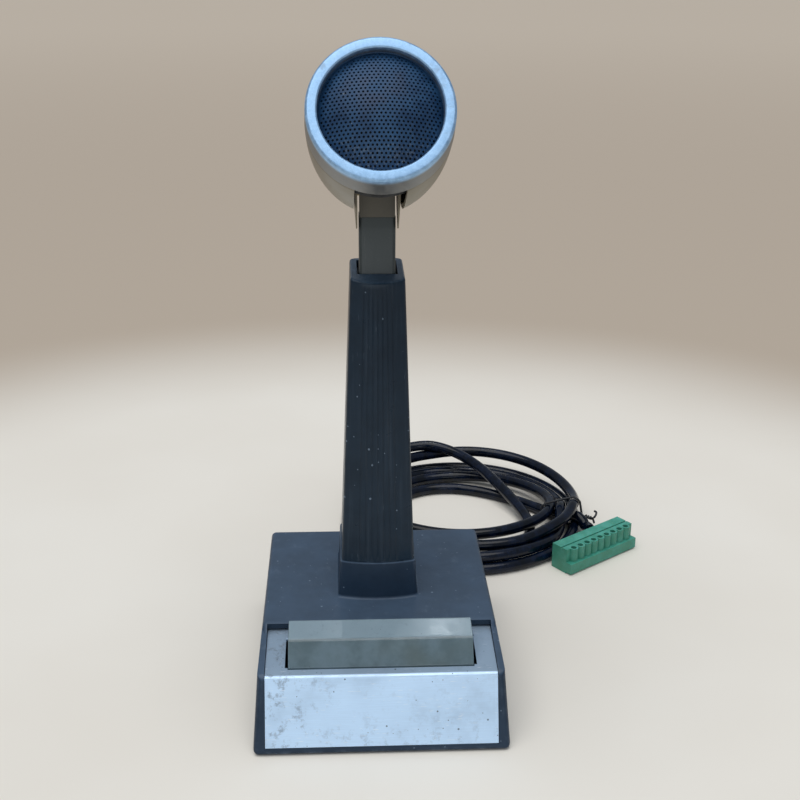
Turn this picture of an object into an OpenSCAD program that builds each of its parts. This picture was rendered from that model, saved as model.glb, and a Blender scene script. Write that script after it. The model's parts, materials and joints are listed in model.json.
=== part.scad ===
// Press-to-talk desk microphone on a weighted wedge base. A wide talk bar rocks in
// the folded front panel, a friction-held arm slides in the column, and the head
// tilts on a pin at the top of the arm. The lead lies in a tied coil behind the base.
// Millimetres. +X is right, +Y is back, +Z is up. The origin is on the table, at the
// middle of the base.

/* [Base] */
// Width of the base where it stands on the table
base_w = 108; // [104:0.5:112]
// Width of the base along its upper edges
base_top_w = 103; // [101:0.5:104]
// Depth of the base from front to back
base_d = 126; // [125:0.5:127]
// Thickness of the housing's walls
wall = 2.8; // [2.4:0.1:3]
// Height of the deck at its front lip
deck_front_h = 39.4; // [39:0.1:40]
// Height of the deck at the back of the base
deck_back_h = 41.9; // [41.5:0.1:42.5]
// How far the rubber feet lift the housing off the table
foot_h = 0.6; // [0.5:0.1:1]

/* [Front panel] */
// Width of the folded aluminium panel
panel_w = 97.6; // [97:0.1:97.8]
// Thickness of the panel's sheet
panel_t = 1.2; // [1:0.1:1.4]
// Width of the opening that the talk bar comes up through
opening_w = 81; // [80.5:0.1:83]

/* [Talk bar] */
// Width of the talk bar
bar_w = 78.3; // [76:0.1:79]
// Thickness of the talk bar's walls
bar_wall = 2; // [1.6:0.1:2.4]

/* [Column and arm] */
// Height of the column's top rim above the table
column_top = 188; // [184:0.5:190]
// Width of the column at its foot
column_foot_w = 32.5; // [32:0.1:33]
// Width of the column at its top rim
column_top_w = 22.8; // [22:0.1:24]
// How far the column's front face bows forward at its middle
column_bow = 2.6; // [2:0.1:3]
// Width of the arm
arm_w = 15.2; // [15:0.1:15.4]
// Depth of the arm from front to back
arm_d = 12; // [11.6:0.1:12.2]

/* [Head] */
// Height of the head's front ring at its centre
ring_z = 261; // [260:0.5:262]
// Upward tilt of the head at rest, in degrees
tilt = 30; // [28:0.5:31]
// Radius of the front ring at its face
ring_r = 27.5; // [27:0.1:27.8]
// Radius of the opening in the front ring
ring_hole_r = 23.3; // [23:0.1:23.6]
// Length of the head from the ring's face to the back of the rear shell
head_len = 80; // [79:0.5:81]
// Radius of the domed grille
grille_sphere_r = 41; // [40:0.5:44]

/* [Cord] */
// Diameter of the lead
cord_dia = 6.2; // [6:0.1:6.3]
// Radius of the coil at the outside of its turns
coil_r = 71; // [70:0.5:71]
// Radius of the hole in the middle of the coil
coil_hole_r = 34; // [33:0.5:34]

/* [Hidden] */
$fn = 64;

slate = "#47566b";
panel_silver = "#b4c6dd";
bar_grey = "#8f969c";
olive_dark = "#454a48";
olive_light = "#9c9484";
steel = "#9aa0a6";
bright_ring = "#bcd6ee";
black_rubber = "#16181c";
cord_black = "#1a1f2a";
plug_green = "#4f9c80";
copper = "#b8733a";
brass = "#c8a850";
insulator_brown = "#6b4a30";

// ---- base outline, seen from the side as [Y, Z] ----
front_y = -base_d / 2;
back_y = base_d / 2;
fold = [-51.8, 31.6];
panel_foot = [-62.2, 3.8];
panel_rear = [-19, 35.7];
lip_y = -22.2;
deck_back_y = back_y - 4;
cheek_rise = 0.8;
front_bar_d = 3;
ceiling_front_z = deck_front_h - wall;
ceiling_back_z = deck_back_h - wall;
plate_z = 2.4;
plate_t = 1.6;
plate_top = plate_z + plate_t;

// ---- collar and column ----
collar_top = 57.5;
collar_w = 34;
collar_foot_w = 35.6;
collar_front_y = -4;
collar_back_y = 38;
column_front = [-3, 1];
column_back = [36.4, 33];
spigot_w = 28;
spigot_d = 33;
spigot_z = 45;
socket_gap = 0.1;
shaft_y = 16;
passage_w = 17.1;
passage_y = [8.6, 29.2];
guide_z = [121, column_top - 3];
arm_gap = 0.12;

// ---- arm and head ----
arm_bottom = 100;
arm_joint_z = 211;
arm_wall = 1.3;
pivot_z = 224;
ring_y = -34;
pin_r = 1.8;
running_gap = 0.05;
ear_inner = 8.2;
ear_outer = 9.8;
slot_half = 9.85;
band_len = 14;
shell_r = 28.1;
shell_shoulder = 18;
shell_wall = 2;
band_bore_r = 25.6;
grille_rim_l = 4.6;
grille_t = 0.8;
head_fn = 96;

// ---- talk bar mechanism, as [Y, Z] ----
bar_pivot = [-8, 27];
bar_pin_r = 1.5;
lever_z = 27;
lever_t = 1.5;
lever_half = 30;
bracket_half = 32.5;
bracket_t = 1.5;
bar_screw_x = 14;
bar_screw_y = -38;
spring_x = 24;
spring_y = -34;
spring_r = 4.5;
blade_z = [9, 12, 15];
plunger_y = -34;

// ---- cord ----
cord_r = cord_dia / 2;
cord_sides = 10;
coil_at = [53, 150];
coil_h = 12.6;
relief_z = 12;
relief_y = back_y - 0.4;
lead_route = [[0, 64, 12], [0, 72, 12], [0, 80, 11.9], [0, 86, 11], [-1, 91, 9.2], [-2, 96, 6.8],
    [-3, 101, 4.6], [-3, 106, 3.4], [-3, 108, 3.2]];
crossing_route = [[2, 196, 15.9], [9, 203, 16.2], [18, 209, 16.4], [28, 213, 16.4], [38, 213, 16.3],
    [48, 209, 16.2], [56, 201, 16], [62, 190, 15.9], [67, 178, 15], [72, 166, 13], [77, 154, 11],
    [82, 143, 9], [86, 134, 7.6]];
tail_route = [[121, 133, 5], [122, 130, 5.2], [123, 127, 5.6], [123.4, 124, 6.2], [123.2, 121, 6.8]];
plug_at = [122, 102.4];
tie_angle = 3;
plug_turn = 35.5;
plug_ways = 9;
plug_pitch = 5.08;
plug_len = 51;
plug_d = 14.4;
plug_h = 14;

// ---- general shapes ----

// Corner i of a closed outline of [x, y, radius] rounded as an arc of n steps.
function rounded_corner(path, i, n = 6) =
    let (m = len(path), p = path[i], a = path[(i + m - 1) % m], b = path[(i + 1) % m],
        c = [p[0], p[1]], u = unit([a[0], a[1]] - c), v = unit([b[0], b[1]] - c),
        half = acos(max(-1, min(1, u * v))) / 2, r = p[2])
    r == 0 || half > 89.9 ? [c]
    : let (away = unit(u + v), centre = c + away * r / sin(half), start = c + u * r / tan(half) - centre,
        turn = sign(u[1] * v[0] - u[0] * v[1]) * (180 - 2 * half))
    [for (k = [0:n]) centre + turned(start, turn * k / n)];

function unit(v) = v / norm(v);
function turned(v, a) = [v[0] * cos(a) - v[1] * sin(a), v[0] * sin(a) + v[1] * cos(a)];
function rounded(path, n = 6) = [for (i = [0:len(path) - 1]) each rounded_corner(path, i, n)];

// Extrudes a [Y, Z] outline along X, from x0 to x1.
module across(points, x0, x1) {
    translate([x0, 0, 0])
        rotate([90, 0, 90])
            linear_extrude(x1 - x0)
                polygon(points);
}

// A box given by its lowest and highest corners.
module block(low, high) {
    translate(low)
        cube(high - low);
}

// A cylinder along X, from x0 to x1, about the point [Y, Z].
module rod_x(r, x0, x1, at) {
    translate([x0, at[0], at[1]])
        rotate([0, 90, 0])
            cylinder(r = r, h = x1 - x0);
}

// Ring number i of a tube about a route: its points lie square to the route.
function heading(route, i) =
    unit(route[min(i + 1, len(route) - 1)] - route[max(i - 1, 0)]);
function ring_points(route, i, r, sides) =
    let (t = heading(route, i), s = unit(cross([0, 0, 1], t)), w = cross(t, s))
    [for (k = [0:sides - 1]) route[i] + r * (cos(360 * k / sides) * s + sin(360 * k / sides) * w)];

// A tube of radius r swept along a route.
module tube(route, r, sides) {
    n = len(route);
    points = [for (i = [0:n - 1]) each ring_points(route, i, r, sides)];
    sides_of = [for (i = [0:n - 2], k = [0:sides - 1]) let (m = (k + 1) % sides)
        [i * sides + k, (i + 1) * sides + k, (i + 1) * sides + m, i * sides + m]];
    first = [[for (k = [0:sides - 1]) k]];
    last = [[for (k = [sides - 1:-1:0]) (n - 1) * sides + k]];
    polyhedron(points, concat(first, sides_of, last));
}

// ---- base ----

side_outline = rounded([[front_y, foot_h, 0], [fold[0] - 0.5, fold[1] + cheek_rise, 1.5],
    [lip_y - 3, panel_rear[1] + cheek_rise, 1], [lip_y, deck_front_h, 2],
    [deck_back_y, deck_back_h, 4], [back_y, foot_h, 0]]);

// The solid that the housing is hollowed out of, with its sides drawn in to the top.
module housing_blank() {
    intersection() {
        across(side_outline, -base_w / 2, base_w / 2);
        rotate([90, 0, 0])
            translate([0, 0, -back_y])
                linear_extrude(base_d)
                    polygon([[-base_w / 2, foot_h], [base_w / 2, foot_h], [base_top_w / 2 + 0.3, 32],
                        [base_top_w / 2 - 1, deck_back_h + 1], [1 - base_top_w / 2, deck_back_h + 1],
                        [-base_top_w / 2 - 0.3, 32]]);
    }
}

// The panel's outer line moved inwards by depth, as a strip of the given thickness.
function panel_strip(depth, t, foot = panel_foot, rear = panel_rear) =
    let (u = unit(fold - foot), v = unit(rear - fold), nu = [u[1], -u[0]], nv = [v[1], -v[0]],
        bisector = unit(nu + nv), k = 1 / (bisector * nu))
    [foot + nu * depth, fold + bisector * k * depth, rear + nv * depth,
        rear + nv * (depth + t), fold + bisector * k * (depth + t), foot + nu * (depth + t)];

rail_half = 45.4;
rail_t = 2;
column_screw_x = 10;
column_screw_y = [4.5, 32];

module base_housing() {
    inner_half = panel_w / 2 + 0.1;
    color(slate)
        difference() {
            union() {
                difference() {
                    housing_blank();
                    across([[front_y + front_bar_d, -1], [front_y + front_bar_d, panel_foot[1] - 0.4],
                        [front_y - 5, panel_foot[1] - 0.4], [front_y - 5, 60], [lip_y, 60],
                        [lip_y, ceiling_front_z], [deck_back_y - wall, ceiling_back_z],
                        [back_y - wall, -1]], -inner_half, inner_half);
                }
                for (s = [-1, 1])
                    across(panel_strip(panel_t, rail_t), s > 0 ? rail_half : -inner_half - 0.1,
                        s > 0 ? inner_half + 0.1 : -rail_half);
                collar();
                for (x = [-1, 1], y = [-1, 1])
                    plate_boss(x, y);
            }
            at_panel_screws()
                translate([0, 0, 25])
                    cylinder(r = 1.2, h = 7.8);
            at_plate_screws()
                translate([0, 0, plate_top - 1])
                    cylinder(r = plate_screw_r + 0.02, h = 10);
            translate([-spigot_w / 2 - socket_gap, shaft_y - spigot_d / 2 - socket_gap, spigot_z])
                cube([spigot_w + 2 * socket_gap, spigot_d + 2 * socket_gap, 40]);
            block([-passage_w / 2, 9, 30], [passage_w / 2, 24, 60]);
            for (x = [-column_screw_x, column_screw_x], y = column_screw_y)
                translate([x, y - 2, 30])
                    cylinder(r = 2.1, h = 30);
            translate([0, back_y + 2, relief_z])
                rotate([90, 0, 0])
                    cylinder(r = 5, h = 10);
        }
}

// A boss for one of the base plate's screws, on the side wall: the back ones reach the
// deck and the front ones stop under the panel.
module plate_boss(side, end) {
    x0 = plate_screw[0] - 3.5;
    x1 = panel_w / 2 + 0.2;
    block([side > 0 ? x0 : -x1, end * plate_screw[1] - 3.5, plate_top + 0.02],
        [side > 0 ? x1 : -x0, end * plate_screw[1] + 3.5, end > 0 ? ceiling_front_z + 1 : 22]);
}

// The boss that the column stands in. It grows out of the deck.
module collar() {
    hull() {
        bowed_slab(38, collar_foot_w, collar_front_y - 0.8, collar_back_y + 0.8, 4);
        bowed_slab(collar_top - slab_t, collar_w, collar_front_y, collar_back_y, 3.5);
    }
}

// The column's plan from its front to its back: a bowed front and round back corners.
function bowed_plan(w, front, back, r, steps = 8) =
    let (side_y = front + column_bow, corner = 0.6, h = w / 2)
    concat([for (k = [-steps:steps])
            [(h - corner) * k / steps, side_y - column_bow * (1 - pow(k / steps, 2))]],
        [[h, side_y + corner]],
        rounded_corner([[h, side_y, 0], [h, back, r], [-h, back, r]], 1),
        rounded_corner([[h, back, r], [-h, back, r], [-h, side_y, 0]], 1),
        [[-h, side_y + corner]]);

slab_t = 0.5;

// A thin slab of the column's plan with its underside at z.
module bowed_slab(z, w, front, back, r) {
    translate([0, 0, z])
        linear_extrude(slab_t)
            polygon(bowed_plan(w, front, back, r));
}

plate_half = 47;
plate_y = [-56, 58];
plate_screw = [40, 50];
plate_screw_r = 1.5;

module at_plate_screws() {
    for (x = [-plate_screw[0], plate_screw[0]], y = [-plate_screw[1], plate_screw[1]])
        translate([x, y, 0])
            children();
}

module base_plate() {
    color(steel)
        difference() {
            block([-plate_half, plate_y[0], plate_z], [plate_half, plate_y[1], plate_top]);
            at_plate_screws()
                cylinder(r = plate_screw_r + 0.1, h = 10);
        }
}

module base_plate_screws() {
    color(steel)
        at_plate_screws() {
            translate([0, 0, plate_z - 1.4])
                cylinder(r = 2.8, h = 1.4);
            translate([0, 0, plate_z - 0.1])
                cylinder(r = plate_screw_r, h = 9);
        }
}

module base_feet() {
    color(black_rubber)
        for (x = [-43, 43], y = [-38, 38])
            translate([x, y, 0])
                difference() {
                    cylinder(r = 4.5, h = plate_z - 0.02);
                    translate([0, 0, -0.1])
                        cylinder(r = 1.5, h = 1.2);
                }
}

module ballast_weight() {
    color("#5a5d60")
        translate([0, 0, plate_top])
            linear_extrude(11)
                polygon(rounded([[-35.5, 12, 4], [35.5, 12, 4], [35.5, 53, 4], [-35.5, 53, 4]]));
}

// ---- front panel ----

opening_y = [-47.3, -26.6];
panel_screw_at = [47.1, -36];
panel_screw_head_z = 28.5;
panel_screw_top = 33;

module front_panel() {
    color(panel_silver)
        difference() {
            across(panel_strip(0, panel_t), -panel_w / 2, panel_w / 2);
            block([-opening_w / 2, opening_y[0], 20], [opening_w / 2, opening_y[1], 50]);
            at_panel_screws()
                cylinder(r = 1.12, h = panel_screw_top + 0.1);
        }
}

module at_panel_screws() {
    for (s = [-1, 1])
        translate([s * panel_screw_at[0], panel_screw_at[1], 0])
            children();
}

module panel_screws() {
    color(steel)
        at_panel_screws() {
            translate([0, 0, panel_screw_head_z])
                cylinder(r = 1.65, h = 1.55);
            translate([0, 0, panel_screw_head_z + 0.5])
                cylinder(r = 1.08, h = panel_screw_top - panel_screw_head_z - 0.5);
        }
}

// ---- talk bar ----

bar_outline = rounded([[-46.4, 28.8, 0], [-46.4, 32.3, 1], [-39.9, 41.9, 2], [-27.8, 44.9, 1.5],
    [-27.4, 28.8, 0]]);
bar_hollow = rounded([[-46.4 + bar_wall, 25, 0], [-46.4 + bar_wall, 31.8, 0.5], [-38.6, 40, 1],
    [-29.7, 42.4, 0.5], [-27.4 - bar_wall, 25, 0]]);

module talk_bar() {
    color(bar_grey)
        difference() {
            union() {
                difference() {
                    across(bar_outline, -bar_w / 2, bar_w / 2);
                    across(bar_hollow, bar_wall - bar_w / 2, bar_w / 2 - bar_wall);
                }
                for (x = [-bar_screw_x, bar_screw_x])
                    translate([x, bar_screw_y, lever_z + lever_t])
                        cylinder(r = 3.2, h = 12.4);
            }
            for (x = [-bar_screw_x, bar_screw_x])
                translate([x, bar_screw_y, lever_z])
                    cylinder(r = 1.4, h = 9.5);
        }
}

module talk_bar_lever() {
    color(steel)
        difference() {
            union() {
                block([-lever_half, -43.5, lever_z], [lever_half, -13, lever_z + lever_t]);
                for (x = [-lever_half, lever_half - lever_t])
                    hull() {
                        rod_x(4, x, x + lever_t, bar_pivot);
                        block([x, -20, lever_z], [x + lever_t, -13, lever_z + lever_t]);
                    }
            }
            rod_x(bar_pin_r + running_gap, -40, 40, bar_pivot);
            for (x = [-bar_screw_x, bar_screw_x])
                translate([x, bar_screw_y, lever_z - 1])
                    cylinder(r = 1.5, h = 5);
        }
}

module lever_screws() {
    color(steel)
        for (x = [-bar_screw_x, bar_screw_x])
            translate([x, bar_screw_y, 0]) {
                translate([0, 0, lever_z - 1.6])
                    cylinder(r = 2.7, h = 1.6);
                translate([0, 0, lever_z - 0.1])
                    cylinder(r = 1.38, h = 9);
            }
}

module switch_plunger() {
    color(insulator_brown)
        difference() {
            translate([0, plunger_y, lever_z - 7])
                cylinder(r = 3, h = 7);
            translate([0, plunger_y, lever_z - 7.1])
                cylinder(r = 1, h = 3);
        }
}

module pivot_bracket() {
    color(steel)
        difference() {
            union() {
                block([-bracket_half, -15, plate_top], [bracket_half, 6, plate_top + bracket_t]);
                for (x = [-bracket_half, bracket_half - bracket_t])
                    hull() {
                        rod_x(4, x, x + bracket_t, bar_pivot);
                        block([x, -15, plate_top], [x + bracket_t, 6, plate_top + 1]);
                    }
            }
            rod_x(bar_pin_r, -40, 40, bar_pivot);
        }
}

module pivot_pin() {
    color(steel)
        rod_x(bar_pin_r, -bracket_half - 1.6, bracket_half + 1.6, bar_pivot);
}

module pivot_clips() {
    color(steel)
        for (x = [-bracket_half - 0.9, bracket_half + 0.1])
            difference() {
                rod_x(3.2, x, x + 0.8, bar_pivot);
                rod_x(bar_pin_r, x - 1, x + 2, bar_pivot);
            }
}

module return_springs() {
    color(steel)
        for (x = [-spring_x, spring_x])
            translate([x, spring_y, plate_top + 0.02])
                difference() {
                    cylinder(r = spring_r, h = lever_z - plate_top - 0.04);
                    translate([0, 0, -1])
                        cylinder(r = spring_r - 0.9, h = 40);
                }
}

// ---- leaf switch on the bracket's foot ----

stack_x = [-9, 9];
stack_y = [-6, 5];
blade_t = 0.5;
blade_front_y = -38;
stack_foot = plate_top + bracket_t;
stack_top = 18;
stack_screw_y = [-3, 2];

module stack_screw_holes(r) {
    for (y = stack_screw_y)
        translate([0, y, stack_foot])
            cylinder(r = r, h = 20);
}

module switch_insulators() {
    levels = concat([stack_foot], [for (z = blade_z) z + blade_t]);
    tops = concat(blade_z, [stack_top]);
    color(insulator_brown)
        difference() {
            for (i = [0:len(levels) - 1])
                block([stack_x[0], stack_y[0], levels[i]], [stack_x[1], stack_y[1], tops[i]]);
            stack_screw_holes(1.4);
        }
}

module switch_blades() {
    color(brass)
        difference() {
            for (z = blade_z)
                block([stack_x[0] + 2, blade_front_y, z], [stack_x[1] - 2, stack_y[1] + 5, z + blade_t]);
            stack_screw_holes(1.4);
        }
}

module switch_contacts() {
    color("silver")
        for (i = [0:1])
            for (x = [-4, 4])
                translate([x, blade_front_y + 6, blade_z[i] + blade_t])
                    cylinder(r = 1.4, h = 1.1);
}

module switch_screws() {
    color(steel)
        for (y = stack_screw_y)
            translate([0, y, 0]) {
                translate([0, 0, stack_foot])
                    cylinder(r = 1.3, h = stack_top - stack_foot);
                translate([0, 0, stack_top])
                    cylinder(r = 2.4, h = 1.5);
            }
}

// ---- wiring inside the base ----

strip_low = [-20, 26, 15];
strip_ways = 4;

module terminal_strip() {
    color(insulator_brown)
        difference() {
            block(strip_low, strip_low + [40, 12, 7]);
            for (i = [0:strip_ways - 1])
                translate([-15 + 10 * i, strip_low[1] + 6, strip_low[2] + 2])
                    cylinder(r = 1.5, h = 10);
        }
}

module terminal_screws() {
    color(brass)
        for (i = [0:strip_ways - 1])
            translate([-15 + 10 * i, strip_low[1] + 6, 0]) {
                translate([0, 0, strip_low[2] + 2])
                    cylinder(r = 1.5, h = 5);
                translate([0, 0, strip_low[2] + 7])
                    cylinder(r = 2.8, h = 1.6);
            }
}

// ---- column ----

module column() {
    color(slate)
        difference() {
            union() {
                hull() {
                    bowed_slab(collar_top, column_foot_w, column_front[0], column_back[0], 2.5);
                    bowed_slab(column_top - slab_t, column_top_w, column_front[1], column_back[1], 2);
                }
                translate([-spigot_w / 2, shaft_y - spigot_d / 2, spigot_z])
                    cube([spigot_w, spigot_d, collar_top - spigot_z + 0.5]);
            }
            block([-passage_w / 2, passage_y[0], 0], [passage_w / 2, passage_y[1], 300]);
            for (x = [-column_screw_x, column_screw_x], y = column_screw_y)
                translate([x, y - 2, spigot_z - 1])
                    cylinder(r = 1.6, h = 11);
        }
}

module column_screws() {
    color(steel)
        for (x = [-column_screw_x, column_screw_x], y = column_screw_y)
            translate([x, y - 2, 0]) {
                translate([0, 0, ceiling_front_z - 2.6])
                    cylinder(r = 3.4, h = 2.4);
                translate([0, 0, ceiling_front_z - 0.4])
                    cylinder(r = 1.58, h = 17);
            }
}

module arm_guide() {
    color("#26292d")
        difference() {
            block([0.05 - passage_w / 2, passage_y[0] + 0.05, guide_z[0]],
                [passage_w / 2 - 0.05, passage_y[1] - 0.05, guide_z[1]]);
            block([-arm_w / 2 - arm_gap, shaft_y - arm_d / 2 - arm_gap, 0],
                [arm_w / 2 + arm_gap, shaft_y + arm_d / 2 + arm_gap, 300]);
            block([-5.6, shaft_y, guide_z[0] + 3], [5.6, shaft_y + arm_d / 2 + 2.6, guide_z[1] - 3]);
        }
}

// A leaf bowed towards the arm, which presses on it and holds it at any height.
module friction_spring() {
    y = shaft_y + arm_d / 2 + arm_gap;
    mid = (guide_z[0] + guide_z[1]) / 2;
    reach = 13;
    color(steel)
        across(concat([for (k = [-8:8]) [y + 1.9 * pow(k / 8, 2), mid + reach * k / 8]],
            [for (k = [8:-1:-8]) [y + 0.5 + 1.9 * pow(k / 8, 2), mid + reach * k / 8]]), -5, 5);
}

// ---- arm ----

module arm() {
    color(olive_dark)
        difference() {
            block([-arm_w / 2, shaft_y - arm_d / 2, arm_bottom],
                [arm_w / 2, shaft_y + arm_d / 2, arm_joint_z]);
            block([arm_wall - arm_w / 2, shaft_y - arm_d / 2 + arm_wall, 0],
                [arm_w / 2 - arm_wall, shaft_y + arm_d / 2 - arm_wall, 300]);
        }
}

arm_head_w = 14.6;
lead_y = 19.4;
lead_r = 1.1;

module arm_head() {
    r = arm_d / 2;
    inset = arm_wall + 0.02;
    color("#4d4a42")
        difference() {
            union() {
                block([-arm_head_w / 2, shaft_y - r, arm_joint_z], [arm_head_w / 2, shaft_y + r, pivot_z]);
                rod_x(r, -arm_head_w / 2, arm_head_w / 2, [shaft_y, pivot_z]);
                block([inset - arm_w / 2, shaft_y - r + inset, arm_joint_z - 14],
                    [arm_w / 2 - inset, shaft_y + r - inset, arm_joint_z + 1]);
            }
            rod_x(pin_r + running_gap, -20, 20, [shaft_y, pivot_z]);
            translate([0, lead_y, 150])
                cylinder(r = lead_r + running_gap, h = 100);
        }
}

module arm_stop() {
    inset = arm_wall + 0.02;
    r = arm_d / 2;
    color(steel)
        difference() {
            union() {
                block([inset - arm_w / 2, shaft_y - r + inset, arm_bottom],
                    [arm_w / 2 - inset, shaft_y + r - inset, arm_bottom + 8]);
                block([-arm_w / 2, shaft_y - r, arm_bottom - 3], [arm_w / 2, shaft_y + r + 4, arm_bottom]);
            }
            translate([0, lead_y, 0])
                cylinder(r = lead_r + running_gap, h = 300);
        }
}

module microphone_lead() {
    color(black_rubber)
        translate([0, lead_y, arm_bottom - 3])
            cylinder(r = lead_r, h = pivot_z - arm_bottom + 6);
}

module friction_washers() {
    color(brass)
        for (x = [-ear_inner + running_gap, arm_head_w / 2 + running_gap])
            difference() {
                rod_x(5.2, x, x + ear_inner - arm_head_w / 2 - 2 * running_gap, [shaft_y, pivot_z]);
                rod_x(pin_r + running_gap, x - 1, x + 3, [shaft_y, pivot_z]);
            }
}

module tilt_pin() {
    color(steel) {
        rod_x(pin_r, -ear_outer - 0.2, ear_outer + 0.2, [shaft_y, pivot_z]);
        for (x = [-ear_outer - 1.8, ear_outer + 0.2])
            rod_x(3.4, x, x + 1.6, [shaft_y, pivot_z]);
    }
}

// ---- head, drawn along its own axis ----

// The head's own axis runs from its back to its front along +Z here, with the
// ring's face at 0 and the head's upper side towards +Y.
module in_head() {
    translate([0, ring_y, ring_z])
        rotate([90 - tilt, 0, 0])
            children();
}

// Distance behind the ring's face, and height above the head's axis, of the tilt pin.
pin_back = (shaft_y - ring_y) * cos(tilt) - (pivot_z - ring_z) * sin(tilt);
pin_up = (shaft_y - ring_y) * sin(tilt) + (pivot_z - ring_z) * cos(tilt);

// Radius of an egg-shaped shell at a distance l behind the ring's face.
function egg(l, r, last) =
    l <= shell_shoulder ? r : r * sqrt(max(0, 1 - pow((l - shell_shoulder) / (last - shell_shoulder), 2)));
function egg_line(r, first, last, n) =
    [for (k = [0:n]) let (l = first + (last - first) * sin(90 * k / n)) [egg(l, r, last), -l]];

module turned_solid(points) {
    rotate_extrude($fn = head_fn)
        polygon(points);
}

module front_ring() {
    color(bright_ring)
        in_head()
            turned_solid([[ring_hole_r, -0.4], [ring_hole_r + 0.4, 0], [ring_r - 0.4, 0], [ring_r, -0.4],
                [shell_r, -band_len], [band_bore_r, -band_len], [band_bore_r, -grille_rim_l + 0.6],
                [ring_hole_r, -grille_rim_l + 0.6]]);
}

grille_centre = -grille_rim_l - sqrt(pow(grille_sphere_r, 2) - pow(ring_hole_r, 2));
grille_flange_t = 0.7;

// A dome with a flat flange, thick t, its outside r from the dome's centre.
module dome(r, t, rim_r) {
    intersection() {
        difference() {
            translate([0, 0, grille_centre])
                sphere(r = r, $fn = head_fn);
            translate([0, 0, grille_centre])
                sphere(r = r - t, $fn = head_fn);
        }
        translate([0, 0, -grille_rim_l - 0.1])
            cylinder(r = rim_r, h = 20, $fn = head_fn);
    }
}

module grille() {
    color("#27405c")
        in_head() {
            dome(grille_sphere_r, grille_t, ring_hole_r - 0.05);
            turned_solid([[ring_hole_r - 1.2, -grille_rim_l - grille_flange_t],
                [band_bore_r - 0.1, -grille_rim_l - grille_flange_t],
                [band_bore_r - 0.1, -grille_rim_l + 0.5], [ring_hole_r - 0.05, -grille_rim_l + 0.5],
                [ring_hole_r - 0.05, -grille_rim_l], [ring_hole_r - 1.2, -grille_rim_l]]);
        }
}

module windscreen() {
    color(black_rubber)
        in_head()
            translate([0, 0, -0.1])
                dome(grille_sphere_r - grille_t - 0.1, 0.6, ring_hole_r - 1.5);
}

module rear_shell() {
    outer = egg_line(shell_r - 0.1, band_len + 0.05, head_len, 20);
    inner = egg_line(shell_r - 0.1 - shell_wall, band_len - 6, head_len - shell_wall, 20);
    turned_inner = [for (i = [len(inner) - 1:-1:0]) inner[i]];
    spigot_r = band_bore_r - 0.1;
    color(olive_light)
        in_head()
            difference() {
                union() {
                    turned_solid(concat([[spigot_r - 1.6, -8], [spigot_r, -8], [spigot_r, -band_len - 0.05]],
                        outer, [for (p = turned_inner) if (p[1] < -band_len - 0.5) p],
                        [[spigot_r - 1.6, -band_len - 0.4]]));
                    for (l = yoke_screw_l)
                        translate([0, yoke_top, -l])
                            rotate([-90, 0, 0])
                                cylinder(r = 3.4, h = egg(l, shell_r, head_len) - yoke_top - 1.5);
                }
                translate([-slot_half, -40, -77])
                    cube([2 * slot_half, 40, 77 - band_len - 0.05]);
                for (l = yoke_screw_l)
                    translate([0, yoke_top - 1, -l])
                        rotate([-90, 0, 0])
                            cylinder(r = 1.3, h = 9);
            }
}

yoke_screw_l = [49, 60];
yoke_top = 3.6;
yoke_t = 1.6;

module tilt_yoke() {
    ear = [[44, yoke_top], [66, yoke_top], [72, -4], [73, -9], [70, -17], [66, -25.6], [64, -25.6],
        [55, -21.5], [50, -14], [44, -3]];
    color(olive_light)
        in_head()
            difference() {
                union() {
                    for (x = [-ear_outer, ear_inner])
                        translate([x, 0, 0])
                            rotate([0, 90, 0])
                                linear_extrude(ear_outer - ear_inner)
                                    polygon(ear);
                    block([-ear_outer, yoke_top - yoke_t, -66], [ear_outer, yoke_top, -44]);
                }
                translate([-20, pin_up, -pin_back])
                    rotate([0, 90, 0])
                        cylinder(r = pin_r, h = 40);
                for (l = yoke_screw_l)
                    translate([0, 0, -l])
                        rotate([-90, 0, 0])
                            cylinder(r = 1.5, h = 9);
            }
}

module yoke_screws() {
    color(steel)
        in_head()
            for (l = yoke_screw_l)
                translate([0, yoke_top - yoke_t - 1.2, -l])
                    rotate([-90, 0, 0]) {
                        cylinder(r = 2.5, h = 1.2);
                        cylinder(r = 1.28, h = 10);
                    }
}

// ---- dynamic capsule, each piece turned about the head's axis ----

capsule_r = 19;
capsule_front = 9;
capsule_back = 34;

module capsule_case() {
    color("#33373b")
        in_head()
            turned_solid([[0, -capsule_back], [capsule_r, -capsule_back], [capsule_r, -capsule_front - 1.2],
                [capsule_r - 1.5, -capsule_front - 1.2], [capsule_r - 1.5, -capsule_back + 2],
                [0, -capsule_back + 2]]);
}

module capsule_cover() {
    color("#3c4044")
        in_head()
            difference() {
                translate([0, 0, -capsule_front - 1.18])
                    cylinder(r = capsule_r, h = 1.18);
                for (a = [0:60:300])
                    rotate([0, 0, a])
                        translate([9, 0, -20])
                            cylinder(r = 2.4, h = 30);
            }
}

module diaphragm() {
    color("#c9b98a")
        in_head()
            turned_solid([[0, -13], [7, -13], [8, -14], [17, -14], [17, -14.3], [7.9, -14.3], [6.9, -13.3],
                [0, -13.3]]);
}

module voice_coil() {
    color(copper)
        in_head()
            turned_solid([[7.2, -18], [7.8, -18], [7.8, -14.35], [7.2, -14.35]]);
}

module magnet() {
    color("#7c8084")
        in_head()
            translate([0, 0, -capsule_back + 2.02])
                cylinder(r = 6.8, h = 13);
}

module pole_plate() {
    color(steel)
        in_head()
            turned_solid([[8.2, -19], [17, -19], [17, -16.5], [8.2, -16.5]]);
}

module shock_mount() {
    color(black_rubber)
        in_head()
            turned_solid([[capsule_r + 0.02, -24], [25.7, -24], [25.7, -21], [22.5, -21], [22.5, -22],
                [21, -22], [21, -21], [capsule_r + 0.02, -21]]);
}

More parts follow.
